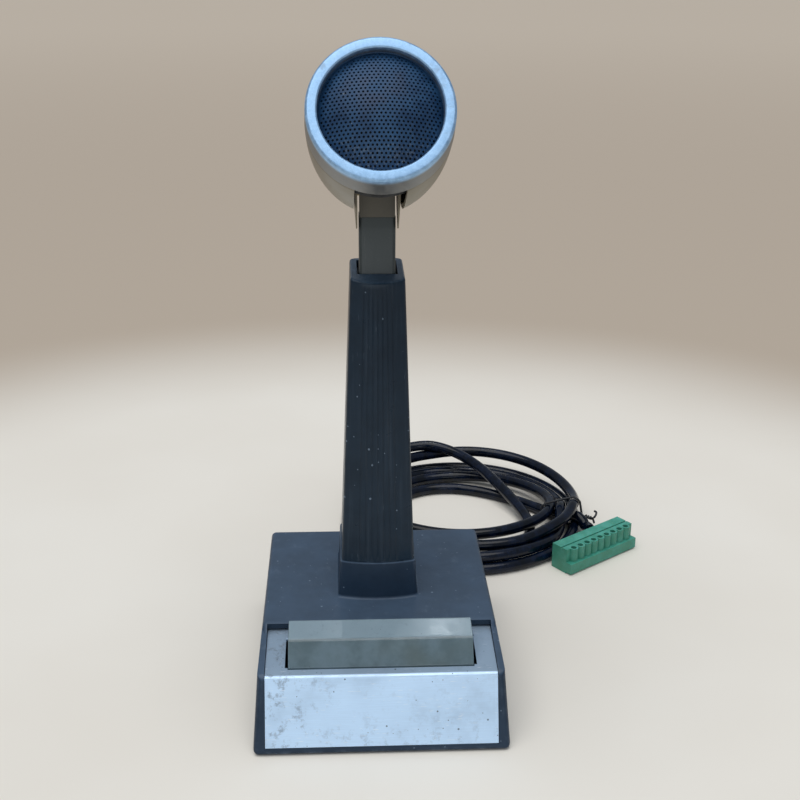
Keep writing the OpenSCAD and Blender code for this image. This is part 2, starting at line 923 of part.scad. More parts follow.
// ---- cord and plug ----

module strain_relief() {
    color(black_rubber)
        translate([0, 0, relief_z])
            rotate([-90, 0, 0])
                difference() {
                    union() {
                        translate([0, 0, relief_y - 7.6])
                            cylinder(r = 7, h = 2.8);
                        translate([0, 0, relief_y - 5])
                            cylinder(r = 4.9, h = 5.1);
                        translate([0, 0, relief_y])
                            cylinder(r1 = 6.6, r2 = 4.2, h = 16.4);
                    }
                    translate([0, 0, back_y - 8])
                        cylinder(r = cord_r, h = 30);
                }
}

module cord_lead() {
    color(cord_black)
        tube(lead_route, cord_r, cord_sides);
}

module cord_coil() {
    color(cord_black)
        translate([coil_at[0], coil_at[1], 0])
            rotate_extrude($fn = 96)
                polygon(rounded([[coil_hole_r, 0, 3], [coil_r, 0, 3], [coil_r, coil_h, 5],
                    [coil_hole_r, coil_h, 5]]));
}

module cord_crossing() {
    color(cord_black)
        tube(crossing_route, cord_r, cord_sides);
}

module cord_tail() {
    color(cord_black)
        tube(tail_route, cord_r, cord_sides);
}

// A wire tie round the turns, on the coil's right-hand side.
module cord_tie() {
    middle = (coil_r + coil_hole_r) / 2;
    half = (coil_r - coil_hole_r) / 2 + 0.1;
    color(black_rubber)
        translate([coil_at[0], coil_at[1], 0])
            rotate([0, 0, tie_angle])
                translate([middle, 0, 0])
                    difference() {
                        block([-half - 0.8, -1.2, 0], [half + 0.8, 1.2, coil_h + 0.9]);
                        block([-half, -2, -1], [half, 2, coil_h + 0.1]);
                    }
}

module at_plug() {
    translate([plug_at[0], plug_at[1], 0])
        rotate([0, 0, plug_turn])
            children();
}

function way_x(i) = (i - (plug_ways - 1) / 2) * plug_pitch;

pillar_y = -3.4;
pillar_r = 2.5;
ledge_z = 6.6;

// The plug's screws sit in a row of round pillars over a ledge along its front. The
// conductors enter at the back, and the contacts open downwards.
module plug_housing() {
    color(plug_green)
        at_plug()
            difference() {
                union() {
                    block([-plug_len / 2, -plug_d / 2, 0.8], [plug_len / 2, plug_d / 2 - 1, ledge_z]);
                    block([-plug_len / 2, pillar_y, 0], [plug_len / 2, plug_d / 2, plug_h]);
                    for (i = [0:plug_ways - 1])
                        translate([way_x(i), pillar_y, ledge_z - 1])
                            cylinder(r = pillar_r, h = plug_h - ledge_z + 1);
                }
                block([-plug_len, 0.2, plug_h - 0.8], [plug_len, 1, plug_h + 1]);
                for (i = [0:plug_ways - 1])
                    translate([way_x(i), 0, 0]) {
                        translate([0, pillar_y, plug_h - 4])
                            cylinder(r = 1.5, h = 10);
                        block([-1.7, plug_d / 2 - 5, 3], [1.7, plug_d / 2 + 1, 7.5]);
                        block([-0.9, -4, -1], [0.9, -2, 5]);
                    }
            }
}

module plug_screws() {
    color(steel)
        at_plug()
            for (i = [0:plug_ways - 1])
                translate([way_x(i), pillar_y, plug_h - 4])
                    difference() {
                        cylinder(r = 1.48, h = 1.6);
                        block([-2, -0.25, 1], [2, 0.25, 3]);
                    }
}

module plug_contacts() {
    color(brass)
        at_plug()
            for (i = [0:plug_ways - 1])
                translate([way_x(i), 0, 0])
                    block([-0.8, -3.4, 0.6], [0.8, -2.6, 4.9]);
}

// Four conductors fan out from the end of the jacket into the plug's wire holes.
first_wire_way = 5;
wires = 4;
jacket_end = [11.6, 14.4, 6.8];

module plug_wires() {
    back = plug_d / 2;
    color("#7a2f2a")
        at_plug()
            for (k = [0:wires - 1]) {
                x = way_x(first_wire_way + k);
                spread = (k - (wires - 1) / 2) * 1.2;
                tube([[x, back - 4.6, 5.2], [x, back + 1, 5.2],
                    [(x + jacket_end[0] + spread) / 2, back + 4, 6],
                    [jacket_end[0] + spread, jacket_end[1], jacket_end[2]]], 0.5, 8);
            }
}

base_housing();
base_plate();
base_plate_screws();
base_feet();
ballast_weight();
front_panel();
panel_screws();
talk_bar();
talk_bar_lever();
lever_screws();
switch_plunger();
pivot_bracket();
pivot_pin();
pivot_clips();
return_springs();
switch_insulators();
switch_blades();
switch_contacts();
switch_screws();
terminal_strip();
terminal_screws();
column();
column_screws();
arm_guide();
friction_spring();
arm();
arm_head();
arm_stop();
microphone_lead();
friction_washers();
tilt_pin();
tilt_yoke();
yoke_screws();
rear_shell();
front_ring();
grille();
windscreen();
capsule_case();
capsule_cover();
diaphragm();
voice_coil();
magnet();
pole_plate();
shock_mount();
strain_relief();
cord_lead();
cord_coil();
cord_crossing();
cord_tail();
cord_tie();
plug_wires();
plug_housing();
plug_screws();
plug_contacts();
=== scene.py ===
"""The looks of a press-to-talk desk microphone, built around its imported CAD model.

Shapes are given in millimetres and scaled to metres once, when a piece is made. The
frame is the CAD's: +X is right, +Y is back, +Z is up, and the table is at Z = 0.
"""
import math

import bmesh
import bpy
import numpy as np
from mathutils import Matrix, Vector
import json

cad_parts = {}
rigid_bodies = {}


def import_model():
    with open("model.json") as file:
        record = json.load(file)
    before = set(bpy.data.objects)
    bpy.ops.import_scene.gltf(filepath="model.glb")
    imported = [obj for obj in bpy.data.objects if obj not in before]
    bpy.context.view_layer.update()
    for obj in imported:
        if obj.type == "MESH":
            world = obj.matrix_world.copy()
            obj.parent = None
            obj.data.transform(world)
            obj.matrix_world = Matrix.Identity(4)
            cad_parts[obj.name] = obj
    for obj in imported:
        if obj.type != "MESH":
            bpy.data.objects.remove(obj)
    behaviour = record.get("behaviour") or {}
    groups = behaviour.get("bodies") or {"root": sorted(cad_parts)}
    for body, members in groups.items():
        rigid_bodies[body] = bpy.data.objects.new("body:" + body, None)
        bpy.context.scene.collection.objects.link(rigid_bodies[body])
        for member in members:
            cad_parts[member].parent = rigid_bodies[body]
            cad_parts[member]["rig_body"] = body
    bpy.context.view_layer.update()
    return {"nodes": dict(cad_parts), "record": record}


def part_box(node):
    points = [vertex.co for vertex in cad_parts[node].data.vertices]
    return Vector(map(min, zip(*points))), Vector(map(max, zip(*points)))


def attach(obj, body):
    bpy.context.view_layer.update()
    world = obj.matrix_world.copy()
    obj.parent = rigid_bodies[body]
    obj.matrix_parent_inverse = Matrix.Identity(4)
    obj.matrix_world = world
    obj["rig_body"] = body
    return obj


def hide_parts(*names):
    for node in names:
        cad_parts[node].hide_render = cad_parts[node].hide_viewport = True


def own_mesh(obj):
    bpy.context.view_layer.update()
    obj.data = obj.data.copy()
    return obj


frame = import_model()

MM = 0.001


# ---------------------------------------------------------------- small geometry helpers

def unit(v):
    return v / np.linalg.norm(v)


def arc(centre, radius, start, end, steps):
    """Points on an arc, from the angle start to the angle end in degrees."""
    angles = np.radians(np.linspace(start, end, steps + 1))
    return [(centre[0] + radius * math.cos(a), centre[1] + radius * math.sin(a)) for a in angles]


def rounded(corners, steps=6):
    """A closed outline of (x, y, radius) corners, each rounded to its radius."""
    outline = []
    for i, (x, y, radius) in enumerate(corners):
        corner = np.array((x, y), float)
        before = unit(np.array(corners[i - 1][:2], float) - corner)
        after = unit(np.array(corners[(i + 1) % len(corners)][:2], float) - corner)
        if radius == 0:
            outline.append((x, y))
            continue
        half = math.acos(max(-1.0, min(1.0, float(before @ after)))) / 2
        centre = corner + unit(before + after) * radius / math.sin(half)
        start = corner + before * radius / math.tan(half) - centre
        turn = math.copysign(math.pi - 2 * half, before[1] * after[0] - before[0] * after[1])
        for k in range(steps + 1):
            a = turn * k / steps
            outline.append((centre[0] + start[0] * math.cos(a) - start[1] * math.sin(a),
                            centre[1] + start[0] * math.sin(a) + start[1] * math.cos(a)))
    return outline


def circle(x, y, radius, step):
    """Points round a circle, step degrees apart."""
    return [(x + radius * math.cos(a), y + radius * math.sin(a))
            for a in np.radians(np.arange(0, 360, step))]


def rounded_box(x0, x1, y0, y1, radius, steps=6):
    return rounded([(x0, y0, radius), (x1, y0, radius), (x1, y1, radius), (x0, y1, radius)], steps)


def prism(bm, outline, to_point, low, high):
    """Adds a closed prism over an outline. to_point(u, v, w) places a point of it."""
    bottom = [bm.verts.new(to_point(u, v, low)) for u, v in outline]
    top = [bm.verts.new(to_point(u, v, high)) for u, v in outline]
    bm.faces.new(bottom[::-1])
    bm.faces.new(top)
    for i in range(len(outline)):
        j = (i + 1) % len(outline)
        bm.faces.new((bottom[i], bottom[j], top[j], top[i]))


def along_x(u, v, w):
    return (w, u, v)


def along_y(u, v, w):
    return (u, w, v)


def along_z(u, v, w):
    return (u, v, w)


def loft(bm, rings, loop=False):
    """Joins rings of points into one skin, closed at its ends or, in a loop, on itself."""
    rows = [[bm.verts.new(p) for p in ring] for ring in rings]
    for a, b in zip(rows, rows[1:] + (rows[:1] if loop else [])):
        for i in range(len(a)):
            j = (i + 1) % len(a)
            bm.faces.new((a[i], a[j], b[j], b[i]))
    if not loop:
        bm.faces.new(rows[0][::-1])
        bm.faces.new(rows[-1])


def revolve(bm, profile, steps=96, closed=True):
    """Turns a profile of (radius, height) about +Z, and gives the new points."""
    rings = []
    for radius, height in profile:
        if radius < 1e-6:
            rings.append([bm.verts.new((0, 0, height))])
            continue
        rings.append([bm.verts.new((radius * math.cos(2 * math.pi * k / steps),
                                    radius * math.sin(2 * math.pi * k / steps), height))
                      for k in range(steps)])
    pairs = list(zip(rings, rings[1:]))
    if closed and len(rings[0]) > 1 and len(rings[-1]) > 1:
        pairs.append((rings[-1], rings[0]))
    for a, b in pairs:
        for k in range(steps):
            m = (k + 1) % steps
            bm.faces.new((a if len(a) == 1 else [a[k], a[m]]) + (b if len(b) == 1 else [b[m], b[k]]))
    return [point for ring in rings for point in ring]


def tube(bm, points, radius, sides=12):
    """A round tube along points in millimetres, closed at both ends."""
    points = [np.array(p, float) for p in points]
    across = None
    rings = []
    for i, p in enumerate(points):
        t = unit(points[min(i + 1, len(points) - 1)] - points[max(i - 1, 0)])
        if across is None:
            across = unit(np.cross(t, (0.3, 0.2, 1.0)))
        across = unit(across - (across @ t) * t)
        other = np.cross(t, across)
        rings.append([p + radius * (math.cos(a) * across + math.sin(a) * other)
                      for a in np.arange(sides) * 2 * math.pi / sides])
    loft(bm, rings)


def smooth_line(points, spacing):
    """A curve through points (Catmull-Rom), resampled at an even spacing."""
    p = [np.array(q, float) for q in points]
    p = [2 * p[0] - p[1]] + p + [2 * p[-1] - p[-2]]
    dense = []
    for i in range(1, len(p) - 2):
        for t in np.arange(0, 1, 1 / 16):
            dense.append(0.5 * (2 * p[i] + (p[i + 1] - p[i - 1]) * t
                                + (2 * p[i - 1] - 5 * p[i] + 4 * p[i + 1] - p[i + 2]) * t ** 2
                                + (3 * p[i] - p[i - 1] - 3 * p[i + 1] + p[i + 2]) * t ** 3))
    dense.append(p[-2])
    return resampled(np.array(dense), spacing)


def resampled(points, spacing):
    """The same line with its points an even distance apart."""
    steps = np.linalg.norm(np.diff(points, axis=0), axis=1)
    along = np.concatenate(([0], np.cumsum(steps)))
    count = max(2, int(round(along[-1] / spacing)) + 1)
    at = np.linspace(0, along[-1], count)
    return np.stack([np.interp(at, along, points[:, k]) for k in range(3)], axis=1)


# ---------------------------------------------------------------- making pieces

def raw_object(name, bm, place=None):
    """A mesh object from a bmesh drawn in millimetres, optionally placed by a matrix."""
    bmesh.ops.recalc_face_normals(bm, faces=bm.faces)
    if place is not None:
        bmesh.ops.transform(bm, matrix=place, verts=bm.verts)
    bmesh.ops.scale(bm, vec=(MM, MM, MM), verts=bm.verts)
    mesh = bpy.data.meshes.new(name)
    bm.to_mesh(mesh)
    bm.free()
    obj = bpy.data.objects.new(name, mesh)
    bpy.context.scene.collection.objects.link(obj)
    return obj


def modify(obj, kind, **settings):
    """Applies one modifier, with its settings, to the object's mesh."""
    modifier = obj.modifiers.new("shaping", kind)
    for name, value in settings.items():
        setattr(modifier, name, value)
    graph = bpy.context.evaluated_depsgraph_get()
    mesh = bpy.data.meshes.new_from_object(obj.evaluated_get(graph))
    obj.modifiers.clear()
    obj.data = mesh


def cut(obj, cutter, operation="DIFFERENCE"):
    """Cuts obj by the cutter, or joins it on, and removes the cutter."""
    modify(obj, "BOOLEAN", operation=operation, solver="EXACT", object=cutter)
    bpy.data.objects.remove(cutter)


def carve(obj, *prisms, operation="DIFFERENCE", place=None):
    """Cuts prisms out of obj, or joins them on. Each is a tuple of what prism takes."""
    bm = bmesh.new()
    for shape in prisms:
        prism(bm, *shape)
    cut(obj, raw_object("cutter", bm, place), operation)


def bevel(obj, width, segments, angle=35):
    """Rounds every edge sharper than the angle by a width in millimetres."""
    modify(obj, "BEVEL", width=width * MM, segments=segments, limit_method="ANGLE",
           angle_limit=math.radians(angle), use_clamp_overlap=True)


def piece(obj, material, body, slot, *nodes, angle=None, flat=False):
    """Gives a finished piece its material and body, and hides the CAD nodes it stands for. Its slot is not
    used.

    With an angle it is shaded smooth, but crisp at edges sharper than that, and flat keeps
    its large faces flat between rounded edges.
    """
    if angle is not None:
        obj.data.shade_smooth()
        obj.data.set_sharp_from_angle(angle=math.radians(angle))
    if flat:
        modify(obj, "WEIGHTED_NORMAL", keep_sharp=True, weight=80)
    obj.data.materials.clear()
    obj.data.materials.append(MATERIALS[material])
    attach(obj, body)
    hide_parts(*nodes)
    return obj


def refined(node, material, slot, width, segments=2):
    """A copy of a CAD node's shape with its sharp edges rounded, which replaces it."""
    source = frame["nodes"][node]
    bm = bmesh.new()
    bm.from_mesh(source.data)
    bmesh.ops.remove_doubles(bm, verts=bm.verts, dist=1e-6)
    bmesh.ops.dissolve_limit(bm, angle_limit=math.radians(1), verts=bm.verts, edges=bm.edges)
    bmesh.ops.scale(bm, vec=(1 / MM,) * 3, verts=bm.verts)
    obj = raw_object(node + "_shape", bm)
    bevel(obj, width, segments)
    return piece(obj, material, source["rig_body"], slot, node, angle=32, flat=True)


# The head's own frame: z is the way it faces, and its origin is the middle of the ring's face.
RING_CENTRE = (0, -34, 261)
HEAD = Matrix.Translation(Vector(RING_CENTRE)) @ Matrix.Rotation(math.radians(60), 4, "X")


# ---------------------------------------------------------------- materials

MATERIALS = {}


class Shader:
    """A procedural material, built node by node on a Principled shader."""

    def __init__(self, name, roughness=0.5, metallic=0.0, colour=(0.5, 0.5, 0.5), constants=()):
        self.name = name
        self.material = bpy.data.materials.new(name)
        self.material.use_nodes = True
        self.tree = self.material.node_tree
        self.surface = self.tree.nodes["Principled BSDF"]
        self.set("Roughness", roughness)
        self.set("Metallic", metallic)
        self.set("Base Color", (*colour, 1))
        for socket, value in dict(constants).items():
            self.set(socket, value)
        self.place = self.node("ShaderNodeTexCoord").outputs["Object"]

    def set(self, socket, value):
        if isinstance(value, bpy.types.NodeSocket):
            self.tree.links.new(value, self.surface.inputs[socket])
        else:
            self.surface.inputs[socket].default_value = value

    def node(self, kind, **inputs):
        made = self.tree.nodes.new(kind)
        for key, value in inputs.items():
            self.feed(made.inputs[key.replace("_", " ")], value)
        return made

    def feed(self, socket, value):
        if isinstance(value, bpy.types.NodeSocket):
            self.tree.links.new(value, socket)
        else:
            socket.default_value = value

    def stretched(self, scale, shift=(0, 0, 0)):
        made = self.node("ShaderNodeMapping", Vector=self.place)
        made.inputs["Scale"].default_value = scale
        made.inputs["Location"].default_value = shift
        return made.outputs["Vector"]

    def noise(self, size, detail=3.0, roughness=0.6, stretch=(1, 1, 1), shift=(0, 0, 0)):
        """Noise from 0 to 1 whose patches are about size millimetres wide."""
        made = self.node("ShaderNodeTexNoise", Vector=self.stretched(stretch, shift),
                         Scale=1 / (size * MM), Detail=detail, Roughness=roughness)
        return made.outputs["Factor" if "Factor" in made.outputs else "Fac"]

    def spots(self, size, radius, chance, shift=(0, 0, 0)):
        """Scattered specks: cells of a size in millimetres, some holding a round spot."""
        cells = self.node("ShaderNodeTexVoronoi", Vector=self.stretched((1, 1, 1), shift),
                          Scale=1 / (size * MM))
        near = self.math("LESS_THAN", cells.outputs["Distance"], radius)
        pick = self.node("ShaderNodeSeparateColor", Color=cells.outputs["Color"])
        kept = self.math("LESS_THAN", pick.outputs[0], chance)
        return self.times(near, kept)

    def math(self, operation, a, b):
        made = self.node("ShaderNodeMath")
        made.operation = operation
        self.feed(made.inputs[0], a)
        self.feed(made.inputs[1], b)
        return made.outputs[0]

    def times(self, a, b):
        return self.math("MULTIPLY", a, b)

    def between(self, value, low, high, to_low=0.0, to_high=1.0):
        """Value remapped smoothly from low..high to to_low..to_high."""
        made = self.node("ShaderNodeMapRange")
        made.interpolation_type = "SMOOTHSTEP"
        for socket, given in zip(("Value", "From Min", "From Max", "To Min", "To Max"),
                                 (value, low, high, to_low, to_high)):
            self.feed(made.inputs[socket], given)
        return made.outputs["Result"]

    def mix(self, factor, a, b):
        made = self.node("ShaderNodeMix")
        made.data_type = "RGBA"
        self.feed(made.inputs["Factor"], factor)
        for socket, colour in ((made.inputs[6], a), (made.inputs[7], b)):
            self.feed(socket, colour if isinstance(colour, bpy.types.NodeSocket) else (*colour, 1))
        return made.outputs[2]

    def axis(self, index):
        """One coordinate of the surface point, in metres."""
        return self.node("ShaderNodeSeparateXYZ", Vector=self.place).outputs[index]

    def edges(self, low, high):
        """1 on worn convex edges and 0 elsewhere."""
        return self.between(self.node("ShaderNodeNewGeometry").outputs["Pointiness"], low, high)

    def upward(self, low, high, to_low=0.0, to_high=1.0):
        """How far the surface faces up, remapped from low..high."""
        normal = self.node("ShaderNodeNewGeometry").outputs["Normal"]
        up = self.node("ShaderNodeSeparateXYZ", Vector=normal).outputs[2]
        return self.between(up, low, high, to_low, to_high)

    def start(self, factor, dark, light):
        """The first layer of colour, from dark to light."""
        self.base = self.mix(factor, dark, light)

    def lay(self, colour, factor, amount=None):
        """Lays a colour over the others, as far as the factor and the amount say."""
        self.base = self.mix(factor if amount is None else self.times(factor, amount), self.base, colour)

    def finish(self, roughness, height, depth, strength=0.5):
        """Joins up colour, roughness and a relief depth millimetres deep, and files the material."""
        self.set("Base Color", self.base)
        if roughness is not None:
            self.set("Roughness", roughness)
        made = self.node("ShaderNodeBump", Height=height, Strength=strength, Distance=depth * MM)
        self.set("Normal", made.outputs["Normal"])
        MATERIALS[self.name] = self.material


def srgb(red, green, blue):
    """A colour given as 0 to 255 screen values, as the linear one that shaders take."""
    return tuple(c / 3294.6 if c < 11 else ((c / 255 + 0.055) / 1.055) ** 2.4
                 for c in (red, green, blue))


def tint(colour, share):
    return tuple(min(1, c * share) for c in colour)


# The pale slate of dust and scuffs, also laid on as painted light on faces that look up.
SLATE_DUST_AND_TOP_LIGHT = srgb(128, 146, 166)


def slate_material(name, colour, roughness, streaked=False):
    """Moulded slate-blue plastic: cloudy, scuffed along its edges, with dust specks, painted light on faces
    that look up and painted shade on steep faces.
    """
    m = Shader(name, roughness, 0.0, colour, {"Specular IOR Level": 0.22, "Coat Weight": 0.1,
                                              "Coat Roughness": 0.12})
    m.start(m.between(m.noise(24, 4, 0.65), 0.3, 0.7), tint(colour, 0.78),
            tuple(c + 0.004 for c in tint(colour, 1.18)))
    if streaked:
        streak = m.noise(1.5, 2, 0.5, stretch=(1, 1, 0.02), shift=(0.7, 0, 0))
        m.lay(SLATE_DUST_AND_TOP_LIGHT, m.between(streak, 0.5, 0.8, 0, 0.1))
        scratch = m.noise(0.45, 1, 0.5, stretch=(1, 1, 0.06), shift=(0.2, 0.4, 0))
        band = m.noise(9, 2, 0.5, shift=(0.5, 0.2, 0.9))
        m.lay(SLATE_DUST_AND_TOP_LIGHT, m.times(m.between(scratch, 0.68, 0.74), m.between(band, 0.56, 0.66)), 0.4)
    dust = m.between(m.noise(7, 5, 0.75, shift=(0.1, 0.8, 0)), 0.55, 0.8)
    m.lay(SLATE_DUST_AND_TOP_LIGHT, m.times(dust, m.upward(0.2, 0.95)), 0.22)
    # Painted light: faces that look up are laid evenly lighter, with no noise.
    m.lay(SLATE_DUST_AND_TOP_LIGHT, m.upward(0.5, 0.98, 0, 0.17))
    # Painted shade: steep and front faces are darkened towards a third of the colour.
    m.lay(tint(colour, 0.3), m.upward(0.3, 0.7, 0.55, 0))
    m.lay(SLATE_DUST_AND_TOP_LIGHT, m.times(m.edges(0.52, 0.6), m.between(m.noise(3.5, 4), 0.45, 0.68)), 0.4)
    speck = m.math("MAXIMUM", m.spots(2.6, 0.11, 0.16), m.spots(5.5, 0.09, 0.3, shift=(0.4, 0.2, 0)))
    m.lay(SLATE_DUST_AND_TOP_LIGHT, speck, 0.6)
    fine = m.noise(1.6, 3, 0.7, shift=(0.3, 0.1, 0))
    m.finish(m.between(m.noise(9, 4, 0.7), 0.25, 0.8, roughness - 0.1, roughness + 0.14),
             m.math("ADD", m.times(fine, 0.6), m.noise(0.45, 2)), 0.03)


def aluminium_material():
    """Anodised sheet with a fine grain from side to side, specks, smudges and stains; its blue is a painted
    reflection of cool light, and its top face is darkened as a painted reflection.
    """
    # The blue in this colour is a painted reflection of cool light.
    colour = srgb(196, 222, 248)
    m = Shader("panel_aluminium", 0.4, 0.45, colour, {"Specular IOR Level": 0.5})
    grain = m.noise(0.28, 2, 0.6, stretch=(0.025, 1, 1))
    cloud = m.noise(17, 4, 0.6, shift=(0.6, 0, 0.3))
    m.start(m.between(grain, 0.3, 0.7), tint(colour, 0.96), tint(colour, 1.01))
    m.lay(tint(colour, 0.62), m.between(cloud, 0.48, 0.75, 0, 0.28))
    # Painted reflection: the top face is darkened where it mirrors the darker room.
    m.lay(tint(colour, 0.6), m.upward(0.93, 0.99))
    left = m.between(m.axis(0), -0.045, -0.012, 1, 0.12)
    low = m.between(m.axis(2), 0.002, 0.016, 1, 0.3)
    stain = m.times(m.between(m.noise(5.5, 5, 0.75, shift=(0.2, 0.5, 0)), 0.52, 0.66),
                    m.math("MAXIMUM", left, m.times(low, 0.6)))
    m.lay(srgb(92, 100, 112), stain, 0.55)
    speck = m.math("MAXIMUM", m.spots(2.1, 0.12, 0.17), m.spots(4.3, 0.1, 0.25, shift=(0.3, 0.6, 0)))
    m.lay(srgb(58, 62, 72), speck, 0.75)
    scratch = m.between(m.noise(0.6, 1, 0.5, stretch=(0.12, 1, 1), shift=(0.9, 0.3, 0)), 0.69, 0.73)
    m.lay(srgb(235, 240, 248), scratch, 0.4)
    m.set("Metallic", m.between(stain, 0, 1, 0.45, 0.15))
    m.finish(m.between(cloud, 0.3, 0.75, 0.34, 0.52), grain, 0.012, 0.6)


def bar_material():
    """A cloudy, slightly translucent moulding, rubbed smooth and yellowed in places, with painted light on
    its top face.
    """
    light, dark = srgb(104, 123, 133), srgb(88, 106, 113)
    m = Shader("bar_grey", 0.3, 0.0, light, {
        "Subsurface Weight": 0.35, "Subsurface Radius": (0.9, 1.0, 0.95), "Subsurface Scale": 0.004,
        "Specular IOR Level": 0.5})
    m.start(m.between(m.noise(13, 4, 0.6, shift=(0.3, 0.3, 0)), 0.35, 0.7), dark, light)
    m.lay(srgb(98, 107, 101), m.between(m.noise(30, 2, shift=(0.8, 0, 0)), 0.5, 0.75, 0, 0.35))
    # Painted light and sheen: faces that look up are laid lighter and bluer.
    m.lay(srgb(146, 166, 178), m.upward(0.8, 0.97, 0, 0.75))
    m.lay(srgb(84, 92, 92), m.between(m.noise(3, 5, 0.75), 0.55, 0.75), 0.3)
    m.lay(srgb(60, 64, 66), m.spots(1.9, 0.1, 0.1), 0.5)
    m.finish(m.between(m.noise(8, 4, 0.65), 0.3, 0.75, 0.13, 0.2), m.noise(0.5, 2), 0.02)


def painted_material(name, colour, worn, wear):
    """Satin paint with an orange-peel surface, faint grime and long rubs."""
    satin = 0.42
    m = Shader(name, satin, 0.0, colour, {"Specular IOR Level": 0.45, "Coat Weight": 0.1})
    cloud = m.noise(19, 4, 0.6)
    m.start(m.between(cloud, 0.3, 0.72), tint(colour, 0.82), tint(colour, 1.12))
    m.lay(tint(colour, 0.6), m.between(m.noise(4.5, 5, 0.75, shift=(0.5, 0.1, 0)), 0.56, 0.78, 0, 0.2))
    rub = m.times(m.between(m.noise(0.7, 2, 0.5, stretch=(1, 1, 0.05)), 0.62, 0.74),
                  m.between(m.noise(11, 3, shift=(0.3, 0.3, 0)), 0.48, 0.66))
    m.lay(worn, rub, wear)
    m.lay(tint(colour, 1.9), m.spots(2.4, 0.1, 0.14), 0.45)
    m.finish(m.between(cloud, 0.3, 0.75, satin - 0.08, satin + 0.12), m.noise(0.8, 2), 0.02)


def ring_material():
    """Bead-blasted aluminium, mottled with oxide and dark where its edge is nicked; its blue is a painted
    reflection of cool light.
    """
    # The blue in these colours is a painted reflection of cool light.
    colour = srgb(170, 208, 244)
    m = Shader("ring_silver", 0.42, 0.7, colour)
    mottle = m.noise(2.6, 5, 0.7)
    spread = m.between(mottle, 0.35, 0.7)
    m.start(spread, srgb(142, 180, 218), colour)
    axis = HEAD.to_3x3() @ Vector((0, 0, 1))
    along = m.node("ShaderNodeVectorMath", Vector=m.place)
    along.operation = "DOT_PRODUCT"
    along.inputs[1].default_value = axis
    face = axis.dot(Vector(RING_CENTRE)) * MM
    band = m.between(along.outputs["Value"], face - 0.0045, face - 0.0012, 1, 0)
    m.base = m.mix(band, m.base, m.mix(spread, srgb(118, 120, 122), srgb(140, 140, 138)))
    tarnish = m.times(m.between(m.noise(8, 4, 0.7, shift=(0.2, 0.7, 0.1)), 0.55, 0.72), 0.35)
    m.lay(srgb(104, 112, 122), tarnish)
    nick = m.times(m.edges(0.505, 0.55), m.between(m.noise(1.7, 5, 0.8), 0.56, 0.66))
    m.lay(srgb(62, 64, 68), nick, 0.8)
    m.set("Metallic", m.between(tarnish, 0, 0.5, 0.7, 0.35))
    m.finish(m.between(mottle, 0.3, 0.7, 0.36, 0.54), m.noise(0.35, 3, 0.7), 0.02, 0.6)


def grille_material():
    """Blue enamel on pressed steel, with pale dust round the lower rim."""
    m = Shader("grille_blue", 0.45, 0.1, srgb(50, 70, 92), {"Specular IOR Level": 0.35})
    cloud = m.noise(9, 4, 0.65)
    m.start(m.between(cloud, 0.3, 0.7), srgb(18, 50, 84), srgb(34, 74, 112))
    low = m.between(m.axis(2), 0.238, 0.256, 1, 0.1)
    m.lay(srgb(150, 160, 164), m.times(m.between(m.noise(1.1, 4, 0.75), 0.5, 0.66), low), 0.42)
    m.lay(srgb(150, 156, 156), m.spots(2.7, 0.1, 0.06), 0.5)
    m.finish(m.between(cloud, 0.3, 0.75, 0.36, 0.6), m.noise(0.3, 2), 0.01, 0.4)


def jacket_material():
    """A glossy blue-black cord jacket, rubbed and dusty in places."""
    m = Shader("cord_jacket", 0.24, 0.0, srgb(16, 22, 36), {
        "Specular IOR Level": 0.22, "Coat Weight": 0.16, "Coat Roughness": 0.08})
    rub = m.noise(7, 5, 0.7)
    m.start(m.between(rub, 0.35, 0.72), srgb(3, 8, 18), srgb(10, 24, 48))
    dust = m.times(m.between(m.noise(2.5, 5, 0.8), 0.56, 0.72), m.upward(0.1, 0.9))
    m.lay(srgb(86, 100, 120), dust, 0.05)
    m.finish(m.between(rub, 0.3, 0.75, 0.12, 0.26), m.noise(2.2, 3), 0.05)


def plug_material():
    """Green moulded plastic, a little translucent, scuffed and dusty, with painted shade on its sides and
    underside.
    """
    light, dark = srgb(82, 166, 150), srgb(64, 146, 126)
    m = Shader("plug_green", 0.46, 0.0, light, {
        "Subsurface Weight": 0.12, "Subsurface Scale": 0.002, "Specular IOR Level": 0.45})
    cloud = m.noise(6, 4, 0.65)
    m.start(m.between(cloud, 0.35, 0.7), dark, light)
    m.lay(srgb(44, 74, 62), m.between(m.noise(2.4, 5, 0.7), 0.57, 0.78, 0, 0.25))
    # Painted shade: faces that do not look up are darkened.
    m.lay(srgb(44, 96, 66), m.upward(0.4, 0.95, 0.35, 0))
    worn = m.times(m.edges(0.56, 0.66), m.between(m.noise(1.8, 4), 0.5, 0.7))
    m.lay(srgb(120, 180, 158), worn, 0.3)
    m.finish(m.between(cloud, 0.3, 0.75, 0.38, 0.58), m.noise(0.4, 2), 0.02, 0.6)


def metal_material(name, colour, roughness=0.34, tarnish=(0.2, 0.19, 0.18), stretch=(1, 1, 0.15)):
    """Plated or bare metal with fine drawing marks and dull patches."""
    m = Shader(name, roughness, 1.0, colour)
    grain = m.noise(0.4, 3, 0.7, stretch=stretch)
    patch = m.noise(6, 4, 0.7)
    m.start(m.between(grain, 0.3, 0.7), tint(colour, 0.86), colour)
    m.lay(tarnish, m.between(patch, 0.55, 0.78, 0, 0.5))
    m.finish(m.between(patch, 0.3, 0.75, roughness - 0.08, roughness + 0.16), grain, 0.01, 0.6)


